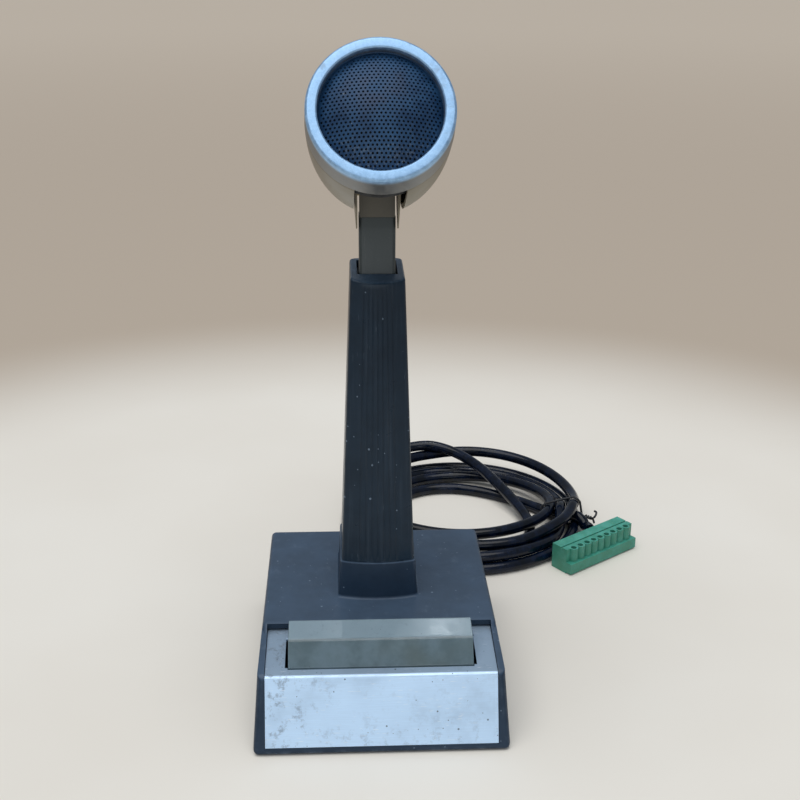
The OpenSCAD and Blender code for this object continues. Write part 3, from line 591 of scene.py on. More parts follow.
def rubber_material(name, colour=(0.018, 0.019, 0.022), roughness=0.68, size=0.6):
    """Matt black rubber or plastic with a fine texture and a little dust."""
    m = Shader(name, roughness, 0.0, colour, {"Specular IOR Level": 0.35})
    m.start(m.between(m.noise(11, 3), 0.3, 0.7), tint(colour, 0.7), tint(colour, 1.4))
    m.lay((0.12, 0.118, 0.11), m.between(m.noise(4, 5, 0.8), 0.52, 0.75), 0.35)
    m.finish(m.between(m.noise(3, 4), 0.3, 0.7, roughness - 0.1, roughness + 0.15),
             m.noise(size, 3, 0.7), 0.06, 0.6)


def cast_material():
    """A rough sand-cast iron weight under thin black paint, with rust at its pits."""
    m = Shader("cast_weight", 0.7, 0.3, (0.05, 0.05, 0.052))
    pits = m.noise(1.4, 5, 0.8)
    m.start(m.between(pits, 0.3, 0.7), (0.025, 0.025, 0.027), (0.08, 0.08, 0.082))
    m.lay((0.13, 0.05, 0.022), m.between(m.noise(5, 5, 0.8, shift=(0.4, 0, 0)), 0.55, 0.72, 0, 0.7))
    m.finish(m.between(pits, 0.3, 0.7, 0.55, 0.85), pits, 0.25, 0.8)


def board_material():
    """Brown phenolic board with faint fibres."""
    m = Shader("insulator", 0.48, 0.0, (0.13, 0.06, 0.03), {"Specular IOR Level": 0.5})
    fibre = m.noise(0.5, 3, 0.6, stretch=(0.2, 1, 1))
    m.start(m.between(fibre, 0.3, 0.7), (0.085, 0.038, 0.018), (0.19, 0.095, 0.05))
    m.finish(m.between(m.noise(3, 4), 0.3, 0.7, 0.4, 0.6), fibre, 0.02)


def cloth_material():
    """Open-cell black foam cloth behind the grille."""
    m = Shader("windscreen_cloth", 0.95, 0.0, (0.012, 0.013, 0.015), {"Sheen Weight": 0.2})
    cells = m.node("ShaderNodeTexVoronoi", Vector=m.place, Scale=1 / (0.5 * MM)).outputs["Distance"]
    m.start(m.between(cells, 0.1, 0.7), (0.004, 0.004, 0.005), (0.026, 0.028, 0.031))
    m.finish(None, cells, 0.2, 1.0)


def film_material():
    """The diaphragm's thin amber film, with a fine bumpy surface."""
    m = Shader("clear_film", 0.22, 0.0, (0.55, 0.45, 0.25), {"Coat Weight": 0.4})
    m.start(m.between(m.noise(3, 4), 0.3, 0.7), (0.45, 0.36, 0.19), (0.62, 0.53, 0.32))
    m.finish(None, m.noise(0.6, 2), 0.03, 0.6)


def wire_material():
    """Glossy red conductor insulation with grubby patches."""
    m = Shader("wire_red", 0.35, 0.0, (0.28, 0.02, 0.018), {"Specular IOR Level": 0.5})
    patch = m.noise(2, 4, 0.7)
    m.start(m.between(patch, 0.4, 0.75), (0.3, 0.022, 0.02), (0.12, 0.02, 0.018))
    m.finish(m.between(patch, 0.3, 0.7, 0.28, 0.5), m.noise(0.5, 2), 0.01)


def floor_material():
    """A plain pale cream table, very slightly uneven, with a painted pool of light round the part that fades
    to tan further off.
    """
    m = Shader("floor", 0.72, 0.0, srgb(238, 226, 208), {"Specular IOR Level": 0.2})
    near = m.mix(m.between(m.noise(180, 3, 0.5), 0.3, 0.7), srgb(236, 230, 220), srgb(240, 235, 226))
    length = m.node("ShaderNodeVectorMath", Vector=m.place)
    length.operation = "LENGTH"
    away = length.outputs["Value"]
    # Painted pool of light: pale cream near the part, darker tan away from it.
    far = m.mix(m.between(away, 0.9, 4.0), srgb(188, 174, 158), srgb(200, 187, 171))
    m.set("Base Color", m.mix(m.between(away, 0.33, 0.56), near, far))
    return m.material


slate_material("slate_housing", srgb(42, 63, 86), 0.42)
# The column's slate is a darker copy of the housing's: painted shade for its front faces.
slate_material("slate_column_painted_shade", srgb(24, 49, 69), 0.36, streaked=True)
metal_material("bare_steel", (0.56, 0.57, 0.59))
rubber_material("black_rubber")
cast_material()
aluminium_material()
bar_material()
board_material()
metal_material("contact_brass", (0.62, 0.47, 0.2), 0.3, (0.25, 0.15, 0.06))
metal_material("contact_silver", (0.82, 0.82, 0.8), 0.22, (0.4, 0.38, 0.35))
rubber_material("black_plastic", (0.022, 0.024, 0.028), 0.5, 0.9)
painted_material("arm_olive", srgb(62, 69, 69), srgb(120, 124, 120), 0.25)
# A browner copy of the arm's paint: painted shade under the head, warmed by light reflected from the table.
painted_material("arm_head_brown", srgb(80, 77, 68), srgb(128, 124, 112), 0.25)
painted_material("shell_beige", srgb(122, 115, 98), srgb(176, 172, 158), 0.2)
ring_material()
grille_material()
cloth_material()
film_material()
metal_material("copper_wire", (0.75, 0.36, 0.2), 0.28, (0.3, 0.13, 0.07), (1, 1, 1))
jacket_material()
wire_material()
plug_material()


def frame_slot(node):
    """The material slot that the record gives to a node."""
    return next(p["material_slot"] for p in frame["record"]["subparts"] if p["node"] == node)


# ---------------------------------------------------------------- camera

CAMERA_AT = (-14.9, -475.8, 321.7)
CAMERA_PITCH, CAMERA_HEADING, CAMERA_ROLL = (math.radians(a) for a in (21.47, 2.92, 0.44))
SENSOR_WIDTH = 36
LENS = 54.09


def make_camera():
    """The camera at the object's usual viewing angle: in front, above and a little left."""
    data = bpy.data.cameras.new("camera")
    data.sensor_width = SENSOR_WIDTH
    data.lens = LENS
    data.dof.use_dof = False
    camera = bpy.data.objects.new("camera", data)
    bpy.context.scene.collection.objects.link(camera)
    forward = Vector((math.sin(CAMERA_HEADING) * math.cos(CAMERA_PITCH),
                      math.cos(CAMERA_HEADING) * math.cos(CAMERA_PITCH), -math.sin(CAMERA_PITCH)))
    level = Vector((math.cos(CAMERA_HEADING), -math.sin(CAMERA_HEADING), 0))
    above = level.cross(forward)
    right = math.cos(CAMERA_ROLL) * level + math.sin(CAMERA_ROLL) * above
    up = math.cos(CAMERA_ROLL) * above - math.sin(CAMERA_ROLL) * level
    turn = Matrix((right, up, -forward)).transposed()
    camera.matrix_world = Matrix.Translation(Vector(CAMERA_AT) * MM) @ turn.to_4x4()
    bpy.context.scene.camera = camera


make_camera()


# ---------------------------------------------------------------- cord

CORD = 6.2
CORD_STEP = 3.0
HELD_START, HELD_END = 40, 12
COIL_AT = (53, 150)
COIL_OUTER = 73.5 - CORD / 2
COIL_BACK_Y = 221 - CORD / 2
LEAD_ROUTE = [(0, 64, 12), (0, 72, 12), (0, 80, 11.9), (0, 86, 11), (-1, 91, 9.2), (-2, 96, 6.8),
              (-3, 101, 4.6), (-3, 106, 3.4), (-3, 108, 3.2)]
CROSSING_ROUTE = [(2, 196, 15.9), (9, 205, 17), (18, 213, 18), (28, 217.4, 18.6), (38, 217.6, 18.6),
                  (48, 214.5, 18), (57, 205, 17.2), (66, 195.5, 16.2), (72, 184, 14), (77.8, 173, 11),
                  (83.5, 162, 8), (89.5, 150.5, 5.2), (93, 138, 3.8), (93.5, 128, 3.2)]
TAIL_ROUTE = [(121, 133, 5), (122, 130, 5.2), (123, 127, 5.6), (123.4, 124, 6.2), (123.2, 121, 6.8)]

# The turns run clockwise, seen from above. Each row is a number of turns from the start,
# a radius and a height: an inner pair of layers that spread at the back and pile up in front.
TURNS_START = 217
TURNS = [(0, 67.8, 3.1), (0.35, 67.8, 3.1), (0.6, 67.8, 3.1), (0.85, 66.5, 3.1), (1.1, 61.4, 3.1),
         (1.35, 61.4, 3.1), (1.6, 61.4, 5.5), (1.7, 63, 8.6), (1.85, 63.4, 8.6), (2, 60, 7), (2.1, 55, 4),
         (2.35, 52, 3.6), (2.5, 52, 7), (2.6, 56, 9.8), (2.67, 49, 10), (2.75, 42, 10), (2.85, 39.5, 10),
         (2.98, 44, 10.5), (3.1, 56, 9.6), (3.25, 65, 12.5), (3.35, 69, 14.3), (3.45, 70.3, 13.6),
         (3.53, 70, 11.5), (3.62, 67.6, 9.4), (3.72, 61, 10), (3.85, 53, 11), (3.97, 55, 10.5),
         (4.1, 63, 11.5), (4.2, 68, 14)]
# The last turn starts where the crossing dives under the others, and comes out on their right.
LAST_START = -26
LAST = [(0.05, 49, 3.1), (0.12, 55, 3.1), (0.18, 58, 3.1), (0.3, 54, 3.1), (0.43, 48, 3.1),
        (0.62, 40, 3.1), (0.75, 34.5, 3.1), (0.84, 37, 3.1), (0.9, 46, 3.1), (0.95, 60, 3.1),
        (0.98, 67, 3.4)]


def turns(start, stations, step=6):
    """Points along a coil whose radius and height follow stations, step degrees apart."""
    at, radius, height = np.array(stations).T
    points = []
    for t in np.arange(at[0], at[-1], step / 360):
        a = math.radians(start - 360 * t)
        r = np.interp(t, at, radius)
        points.append((COIL_AT[0] + r * math.cos(a), COIL_AT[1] + r * math.sin(a),
                       np.interp(t, at, height)))
    return points


def settled(path, held, rounds=220):
    """Pushes strands that lie in each other apart, and keeps the line's length and bend."""
    push, ease, pull = 0.3, 0.15, 0.25
    p = path.copy()
    spacing = np.linalg.norm(np.diff(p, axis=0), axis=1).mean()
    index = np.arange(len(p))
    beside = np.abs(index[:, None] - index[None]) * spacing < 2.5 * CORD
    free = (~held)[:, None]
    centre = np.array(COIL_AT)
    for _ in range(rounds):
        gap = p[:, None] - p[None]
        far = np.sqrt((gap ** 2).sum(2)) + 1e-9
        short = np.where(beside, 0, np.clip(CORD * 1.01 - far, 0, None))
        p = p + free * push * (gap / far[..., None] * short[..., None]).sum(1)
        middle = (p[:-2] + p[2:]) / 2
        p[1:-1] += free[1:-1] * ease * (middle - p[1:-1])
        for _ in range(3):
            step = p[1:] - p[:-1]
            length = np.linalg.norm(step, axis=1)[:, None]
            move = pull * step * (length - spacing) / length
            p[:-1] += free[:-1] * move
            p[1:] -= free[1:] * move
        p[:, 2] = np.maximum(p[:, 2], CORD / 2)
        out = p[:, :2] - centre
        reach = np.linalg.norm(out, axis=1)[:, None]
        outside = (reach > COIL_OUTER) & free & (p[:, 1:2] > COIL_AT[1] - 30)
        limit = np.where(outside, COIL_OUTER, reach)
        p[:, :2] = centre + out / reach * limit
        p[:, 1] = np.minimum(p[:, 1], COIL_BACK_Y)
    return p


def make_cord():
    """One lead from the base through its coil to the plug, as a single round curve."""
    route = (LEAD_ROUTE + turns(TURNS_START, TURNS)[2:] + CROSSING_ROUTE
             + turns(LAST_START, LAST) + TAIL_ROUTE)
    path = smooth_line(route, CORD_STEP)
    from_start = np.arange(len(path)) * CORD_STEP
    held = (from_start < HELD_START) | (from_start[::-1] < HELD_END)
    path = settled(path, held)
    curve = bpy.data.curves.new("lead", "CURVE")
    curve.dimensions = "3D"
    curve.bevel_depth = CORD / 2 * MM
    curve.bevel_resolution = 6
    curve.use_fill_caps = True
    spline = curve.splines.new("POLY")
    spline.points.add(len(path) - 1)
    for point, at in zip(spline.points, path):
        point.co = (*(at * MM), 1)
    spline.use_smooth = True
    lead = bpy.data.objects.new("lead", curve)
    bpy.context.scene.collection.objects.link(lead)
    return lead, path


lead, lead_path = make_cord()
piece(lead, "cord_jacket", "base", "cord_jacket",
      "cord_lead", "cord_coil", "cord_crossing", "cord_tail")


def make_strain_relief():
    """A tapered boot with grooves, its neck in the wall and its flange inside."""
    bm = bmesh.new()
    start, end, ribs = 62.6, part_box("strain_relief")[1].y / MM, 6
    profile = [(CORD / 2, start - 7.6), (6.6, start - 7.6), (7, start - 7.2), (7, start - 5.2),
               (6.6, start - 4.8), (4.9, start - 4.8), (4.9, start)]
    pitch = (end - start - 1.4) / ribs
    for i in range(ribs):
        at = start + i * pitch
        r = 6.6 - 2.2 * (i * pitch) / (end - start)
        profile += [(r - 0.3, at), (r, at + 0.3), (r - 0.25, at + pitch * 0.62), (r - 0.55, at + pitch * 0.7)]
        if i < ribs - 1:
            profile += [(r - 1.05, at + pitch * 0.74), (r - 1.1, at + pitch * 0.97)]
    profile += [(4.3, end - 0.5), (3.9, end), (CORD / 2, end)]
    revolve(bm, profile, 48)
    along_y_axis = Matrix.Translation((0, 0, 12)) @ Matrix.Rotation(-math.pi / 2, 4, "X")
    obj = raw_object("cord_boot", bm, along_y_axis)
    return piece(obj, "black_rubber", "base", "black_rubber", "strain_relief", angle=40)


boot = make_strain_relief()


def hull(points):
    """The convex outline round points in a plane, as a list of corners."""
    points = sorted(map(tuple, points))
    chains = []
    for side in (points, points[::-1]):
        chain = []
        for p in side:
            while len(chain) > 1 and ((chain[-1][0] - chain[-2][0]) * (p[1] - chain[-2][1])
                                      - (chain[-1][1] - chain[-2][1]) * (p[0] - chain[-2][0])) <= 0:
                chain.pop()
            chain.append(p)
        chains += chain[:-1]
    return chains


def make_tie():
    """A twisted wire tie round the turns on the right, with its loose end curled up."""
    wire, a = 0.65, math.radians(-9)
    out = np.array((math.cos(a), math.sin(a), 0))
    offset = lead_path[:, :2] - COIL_AT
    strands = lead_path[(np.abs(offset @ (-math.sin(a), math.cos(a))) < 2) & (offset @ out[:2] > 43)]
    at = np.array((*COIL_AT, 0))
    reach = (strands[:, :2] - COIL_AT) @ out[:2]
    around = np.array([p for r, z in zip(reach, strands[:, 2]) for p in circle(r, z, CORD / 2 + wire, 15)])
    around[:, 1] = np.maximum(around[:, 1], 0.7)
    loop = [at + out * r + np.array((0, 0.5 * math.sin(k), z)) for k, (r, z) in enumerate(hull(around))]
    high = around[:, 0].max()
    bm = bmesh.new()
    tube(bm, smooth_line(loop + loop[:1], 1.0), wire, 8)
    knot = at + out * (high + 1.1) + np.array((0, 0, 6.6))
    end = knot + np.array((2, -8, 2.6))
    for phase in (0, math.pi):
        twist = []
        for k in range(25):
            t = k / 24
            swing = np.array((math.cos(phase + 9 * t), 0, math.sin(phase + 9 * t))) * 0.6
            twist.append(knot + (end - knot) * t + swing)
        tail = [twist[-1] + np.array(p) for p in (
            ((1.2, -1.6, 0.6), (2.6, -1.2, 2.2), (3.2, 0.6, 3.2), (2.2, 1.6, 3.4)) if phase == 0
            else ((0.4, -1.4, -0.6), (0.6, -2.6, -1.6)))]
        tube(bm, smooth_line(twist + tail, 0.6), 0.6, 8)
    obj = raw_object("wire_tie", bm)
    return piece(obj, "black_plastic", "base", "black_plastic", "cord_tie", angle=60)


tie = make_tie()

PLUG_AT = (122, 102.4)
PLUG_TURN = math.radians(35.5)
PLUG_BACK = 7.2
PLUG_PITCH = 5.08
JACKET_END = (11.6, 14.4, 6.8)
PLUG_PLACE = Matrix.Translation((*PLUG_AT, 0)) @ Matrix.Rotation(PLUG_TURN, 4, "Z")


def make_wires():
    """Four insulated conductors that fan out from the jacket into the plug."""
    bm = bmesh.new()
    for k in range(4):
        x = (1 + k) * PLUG_PITCH
        spread = (k - 1.5) * 1.2
        end = (JACKET_END[0] + spread * 0.8, JACKET_END[1] + 0.6, JACKET_END[2])
        route = [(x, PLUG_BACK - 4.6, 5.2), (x, PLUG_BACK - 1, 5.2), (x, PLUG_BACK + 1, 5.3),
                 ((x + end[0]) / 2, PLUG_BACK + 4, 6), end, (end[0] - spread * 0.2, end[1] + 2, end[2])]
        tube(bm, smooth_line(route, 0.5), 0.55, 10)
    obj = raw_object("conductors", bm, PLUG_PLACE)
    return piece(obj, "wire_red", "base", "wire_red", "plug_wires", angle=60)


conductors = make_wires()
plug = refined("plug_housing", "plug_green", "plug_green", 0.22)

# ---------------------------------------------------------------- base

BASE_LOW, BASE_HIGH = (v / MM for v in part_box("base_housing"))
FRONT_Y, BACK_Y = BASE_LOW.y, BASE_HIGH.y
FOOT_Z = BASE_LOW.z
BASE_HALF = BASE_HIGH.x
BASE_TOP_HALF = BASE_HALF - 2.5
WALL = 2.8
LIP_Y = -22.2
PLATE_SCREWS = [(x, y) for x in (-40, 40) for y in (-50, 50)]
DECK_BACK_Y = BACK_Y - 4
DECK_FRONT, DECK_BACK = 39.4, 41.9
PANEL_FOOT, PANEL_FOLD, PANEL_REAR = (-62.2, 3.8), (-51.8, 31.6), (-19, 35.7)
PANEL_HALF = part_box("front_panel")[1].x / MM
PANEL_T = 1.2
COLLAR_TOP = BASE_HIGH.z


def deck_z(y):
    return DECK_FRONT + (y - LIP_Y) / (DECK_BACK_Y - LIP_Y) * (DECK_BACK - DECK_FRONT)


def bowed_plan(width, front, back, corner, bow=2.6, edge=1.2, grooves=0.0):
    """The collar's and column's plan: a bowed front, which may be fluted, and a flat back."""
    half, side_y, steps = width / 2, front + bow, 72
    plan = []
    for k in range(-steps, steps + 1):
        u = k / steps
        x = u * (half - edge)
        y = side_y - bow * (1 - (x / half) ** 2)
        wave = math.cos(math.pi * u / 0.74 * 8) if abs(u) < 0.74 * 7.5 / 8 else 0
        plan.append((x, y + grooves * max(0.0, wave) ** 2))
    start = plan[-1][1]
    plan += [(half - edge + edge * math.sin(a), start + edge * (1 - math.cos(a)) + 0.4 * a)
             for a in np.radians(np.linspace(15, 90, 6))]
    plan += arc((half - corner, back - corner), corner, 0, 90, 6)
    plan += arc((corner - half, back - corner), corner, 90, 180, 6)
    plan += [(-x, y) for x, y in plan[2 * steps + 6:2 * steps:-1]]
    return plan


def make_collar():
    """The boss under the column, with a round fillet where it meets the deck."""
    fillet = 1.5
    bm = bmesh.new()
    rings = []
    levels = [(fillet + 0.4, -0.6)]
    levels += [(fillet * (1 - math.sin(a)), fillet * (1 - math.cos(a)) - 0.06)
               for a in np.radians(np.linspace(0, 90, 8))]
    for out, up in levels:
        plan = bowed_plan(35.4 + 2 * out, -4.7 - out, 38.7 + out, 3.6 + out)
        rings.append([(x, y, deck_z(y) + up) for x, y in plan])
    for z, inset in ((50, 0.5), (COLLAR_TOP - 0.5, 0.74), (COLLAR_TOP - 0.12, 0.9), (COLLAR_TOP, 1.2)):
        plan = bowed_plan(35.4 - 2 * inset, inset - 4.7, 38.7 - inset, 3.6)
        rings.append([(x, y, z) for x, y in plan])
    loft(bm, rings)
    return raw_object("collar", bm)


def make_housing():
    """The moulded base: a hollow wedge with raised cheeks, a rolled lip and a collar."""
    side = [(FRONT_Y, FOOT_Z), (PANEL_FOLD[0] - 0.5, PANEL_FOLD[1] + 0.8), (LIP_Y - 3, PANEL_REAR[1] + 0.8),
            (LIP_Y, DECK_FRONT), (DECK_BACK_Y, DECK_BACK), (BACK_Y, FOOT_Z)]
    bm = bmesh.new()
    prism(bm, side, along_x, -BASE_HALF - 1, BASE_HALF + 1)
    housing = raw_object("housing", bm)
    carve(housing, ([(-BASE_HALF, FOOT_Z - 0.05), (BASE_HALF, FOOT_Z - 0.05), (BASE_TOP_HALF + 0.3,
                                        PANEL_FOLD[1] + 0.8), (BASE_TOP_HALF - 1, DECK_BACK + 1),
                                        (1 - BASE_TOP_HALF, DECK_BACK + 1), (-BASE_TOP_HALF - 0.3,
                                        PANEL_FOLD[1] + 0.8)], along_y, FRONT_Y - 2, BACK_Y + 2),
                                        operation="INTERSECT")
    bevel(housing, 2.05, 5, 24)
    inner = PANEL_HALF + 0.12
    carve(housing, ([(FRONT_Y + 3, -1), (FRONT_Y + 3, PANEL_FOOT[1] - 0.4), (FRONT_Y - 5,
                                        PANEL_FOOT[1] - 0.4), (FRONT_Y - 5, 60), (LIP_Y, 60), (LIP_Y,
                                        DECK_FRONT - WALL), (DECK_BACK_Y - WALL, DECK_BACK - WALL),
                                        (BACK_Y - WALL, -1)], along_x, -inner, inner))
    bm = bmesh.new()
    bm.from_mesh(housing.data)
    lip = [e for e in bm.edges
           if all(abs(v.co.y / MM - LIP_Y) < 0.01 and v.co.z / MM > DECK_FRONT - 2.4 for v in e.verts)
           and abs(e.verts[0].co.x - e.verts[1].co.x) > 0.05]
    bmesh.ops.bevel(bm, geom=lip, offset=1.9 * MM, segments=6, profile=0.5, affect="EDGES")
    bm.to_mesh(housing.data)
    bm.free()
    cut(housing, make_collar(), "UNION")
    bm = bmesh.new()
    for s in (-1, 1):
        for end, top in ((50, DECK_FRONT - WALL + 1), (-50, 22)):
            x0, x1 = sorted((s * 36.5, s * (inner + 0.1)))
            prism(bm, [(x0, end - 3.5), (x1, end - 3.5), (x1, end + 3.5), (x0, end + 3.5)], along_z,
                  4.02, top)
    cut(housing, raw_object("bosses", bm), "UNION")
    carve(housing, (rounded_box(-14.1, 14.1, -0.6, 32.6, 0.5, 2), along_z, 45, 80),
          (rounded_box(-8.55, 8.55, 9, 24, 0.5, 2), along_z, 30, 45.5))
    carve(housing, (circle(0, 12, 5, 10), along_y, BACK_Y - 8, BACK_Y + 3),
          *((circle(x, y, 1.55, 20), along_z, 2, 13) for x, y in PLATE_SCREWS))
    return piece(housing, "slate_housing", "base", "slate_housing", "base_housing", angle=28, flat=True)


make_housing()


def make_panel():
    """One folded sheet with a round fold, and an opening with round corners."""
    foot, fold, rear = (np.array(p, float) for p in (PANEL_FOOT, PANEL_FOLD, PANEL_REAR))
    rise, run = unit(fold - foot), unit(rear - fold)
    radius = 2.2
    bend = math.acos(float(rise @ run))
    back = radius * math.tan(bend / 2)
    centre = fold - rise * back + np.array((rise[1], -rise[0])) * radius
    start = math.atan2(*(fold - rise * back - centre)[::-1])
    turn = [centre + radius * np.array((math.cos(start - bend * k / 8), math.sin(start - bend * k / 8)))
            for k in range(9)]
    opening = [np.array((y, np.interp(y, (fold[0], rear[0]), (fold[1], rear[1])))) for y in (-47.3, -26.6)]
    line = [foot, *turn, opening[0], opening[1], rear]
    columns = [-PANEL_HALF, -40.5, 40.5, PANEL_HALF]
    bm = bmesh.new()
    grid = [[bm.verts.new((x, p[0], p[1])) for x in columns] for p in line]
    hole_row = len(line) - 3
    for i in range(len(line) - 1):
        for k in range(3):
            if (i, k) != (hole_row, 1):
                bm.faces.new((grid[i][k], grid[i][k + 1], grid[i + 1][k + 1], grid[i + 1][k]))
    corners = [grid[i][k] for i in (hole_row, hole_row + 1) for k in (1, 2)]
    bmesh.ops.bevel(bm, geom=corners, offset=1.2, segments=4, affect="VERTICES")
    panel = raw_object("panel", bm)
    modify(panel, "SOLIDIFY", thickness=PANEL_T * MM, offset=-1, use_even_offset=True)
    bevel(panel, 0.22, 2, 50)
    return piece(panel, "panel_aluminium", "base", "panel_aluminium", "front_panel", angle=30, flat=True)


make_panel()


def make_bar():
    """The talk bar: a hollow moulding with rounded ends."""
    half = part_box("talk_bar")[1].x / MM
    outline = rounded([(-46.4, 28.8, 0.3), (-46.4, 32.3, 1.4), (-39.9, 41.9, 2.6), (-27.8, 44.9, 1.6),
                       (-27.4, 28.8, 0.3)], 7)
    bm = bmesh.new()
    prism(bm, outline, along_x, -half, half)
    bar = raw_object("bar", bm)
    bevel(bar, 1.3, 4, 50)
    carve(bar, ([(-44.4, 25), (-44.4, 31.8), (-38.6, 40), (-29.7, 42.4), (-29.4, 25)], along_x, 2 - half,
                half - 2))
    return piece(bar, "bar_grey", "bar", "bar_grey", "talk_bar", angle=28, flat=True)


make_bar()


def make_springs():
    """Two wire coils under the talk bar's lever."""
    low, high = (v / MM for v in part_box("return_springs"))
    wire, coils, steps = 0.55, 7, 24
    radius = (high.y - low.y) / 2 - wire
    middle_y = (low.y + high.y) / 2
    bm = bmesh.new()
    for x in (-24, 24):
        line = []
        for k in range(coils * steps + 1):
            a = 2 * math.pi * k / steps
            share = k / (coils * steps)
            eased = share - 0.06 * math.sin(2 * math.pi * share)
            line.append((x + radius * math.cos(a), middle_y + radius * math.sin(a),
                         low.z + wire + (high.z - low.z - 2 * wire) * eased))
        tube(bm, line, wire, 8)
    springs = raw_object("spring_coils", bm)
    piece(springs, "bare_steel", "base", "bare_steel", "return_springs", angle=60)
    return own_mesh(springs)


make_springs()


def make_plate_screws():
    """Four domed screws with cross recesses in the base plate."""
    bm = bmesh.new()
    for x, y in PLATE_SCREWS:
        screw = revolve(bm, [(0, 11.2), (1.1, 11.2), (1.5, 10.6), (1.5, 2.42), (2.8, 2.4), (2.75, 1.9),
                             (2.3, 1.3), (1.4, 1.0), (0, 1.0)], 32, closed=False)
        bmesh.ops.translate(bm, vec=(x, y, 0), verts=screw)
    screws = raw_object("plate_screws", bm)
    arm, thin = 1.5, 0.32
    cross = [(-arm, -thin), (-thin, -thin), (-thin, -arm), (thin, -arm), (thin, -thin), (arm, -thin),
             (arm, thin), (thin, thin), (thin, arm), (-thin, arm), (-thin, thin), (-arm, thin)]
    carve(screws, *(([(x + u, y + v) for u, v in cross], along_z, 0.5, 1.9) for x, y in PLATE_SCREWS))
    return piece(screws, "bare_steel", "base", "bare_steel", "base_plate_screws", angle=40)


make_plate_screws()

# ---------------------------------------------------------------- column and arm

COLUMN_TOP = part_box("column")[1].z / MM


def make_column():
    """The tapered column: fine flutes down its bowed front, and a sloped front rim."""
    foot, head = (32.5, -3, 36.4, 2.6), (22.8, 1, 33, 2.2)
    rim_from = 8.6
    bm = bmesh.new()
    levels = [(COLLAR_TOP - 0.2, 0.5, 0), (COLLAR_TOP + 0.25, 0, 0), (COLLAR_TOP + 1.2, 0, 0),
              (COLLAR_TOP + 4, 0, 1)]
    levels += [(COLLAR_TOP + 4 + (COLUMN_TOP - COLLAR_TOP - 14) * k / 12, 0, 1) for k in range(1, 13)]
    levels += [(COLUMN_TOP - 5, 0, 0), (COLUMN_TOP - 1.3, 0, 0), (COLUMN_TOP - 0.65, 0.12, 0),
               (COLUMN_TOP - 0.2, 0.42, 0), (COLUMN_TOP, 0.9, 0)]
    rings = []
    for z, inset, flutes in levels:
        share = (z - COLLAR_TOP) / (COLUMN_TOP - COLLAR_TOP)
        w, front, back, corner = (a + (b - a) * share for a, b in zip(foot, head))
        plan = bowed_plan(w - 2 * inset, front + inset, back - inset, corner, grooves=0.3 * flutes)
        near_top = max(0.0, (z - COLUMN_TOP + 6) / 6)
        rings.append([(x, y, z - near_top * 3.0 * max(0.0, (rim_from - y) / rim_from) ** 1.3) for x,
                      y in plan])
    loft(bm, rings)
    column = raw_object("column_shell", bm)
    carve(column, (rounded_box(-8.55, 8.55, rim_from, 29.2, 0.8, 4), along_z, 40, COLUMN_TOP + 5))
    bm = bmesh.new()
    prism(bm, rounded_box(-14, 14, -0.5, 32.5, 0.6, 3), along_z, 45, COLLAR_TOP - 0.19)
    spigot = raw_object("spigot", bm)
    carve(spigot, (rounded_box(-8.55, 8.55, rim_from, 29.2, 0.8, 4), along_z, 40, COLLAR_TOP + 5))
    cut(column, spigot, "UNION")
    # The column takes the darker slate copy, which is painted shade.
    return piece(column, "slate_column_painted_shade", "base", "slate_housing", "column", angle=30, flat=True)


make_column()


def make_arm():
    """The sliding arm: a drawn tube with round corners."""
    low, high = (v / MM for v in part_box("arm"))
    outer = rounded_box(low.x, high.x, low.y, high.y, 1.5, 6)
    inner = rounded_box(low.x + 1.3, high.x - 1.3, low.y + 1.3, high.y - 1.3, 0.5, 6)
    ease = rounded_box(low.x + 0.15, high.x - 0.15, low.y + 0.15, high.y - 0.15, 1.4, 6)
    bm = bmesh.new()
    rings = [(outer, low.z), (outer, high.z - 0.25), (ease, high.z), (inner, high.z), (inner, low.z)]
    loft(bm, [[(x, y, z) for x, y in plan] for plan, z in rings], loop=True)
    arm = raw_object("arm_tube", bm)
    return piece(arm, "arm_olive", "arm", "arm_olive", "arm", angle=40)


make_arm()

# ---------------------------------------------------------------- head


def make_ring():
    """The front ring, turned from one bar, with softened edges."""
    profile = rounded([(23.3, -0.4, 0.15), (23.8, 0.0, 0.5), (26.9, 0.0, 0.9), (27.6, -0.8, 0.9),
                       (28.1, -14, 0.6), (25.6, -14, 0.2), (25.6, -4, 0.2), (23.3, -4, 0.2)], 4)
    bm = bmesh.new()
    revolve(bm, profile, 160)
    ring = raw_object("ring", bm, HEAD)
    return piece(ring, "ring_silver", "head", "ring_silver", "front_ring", angle=35)


make_ring()


GRILLE_T = 0.5


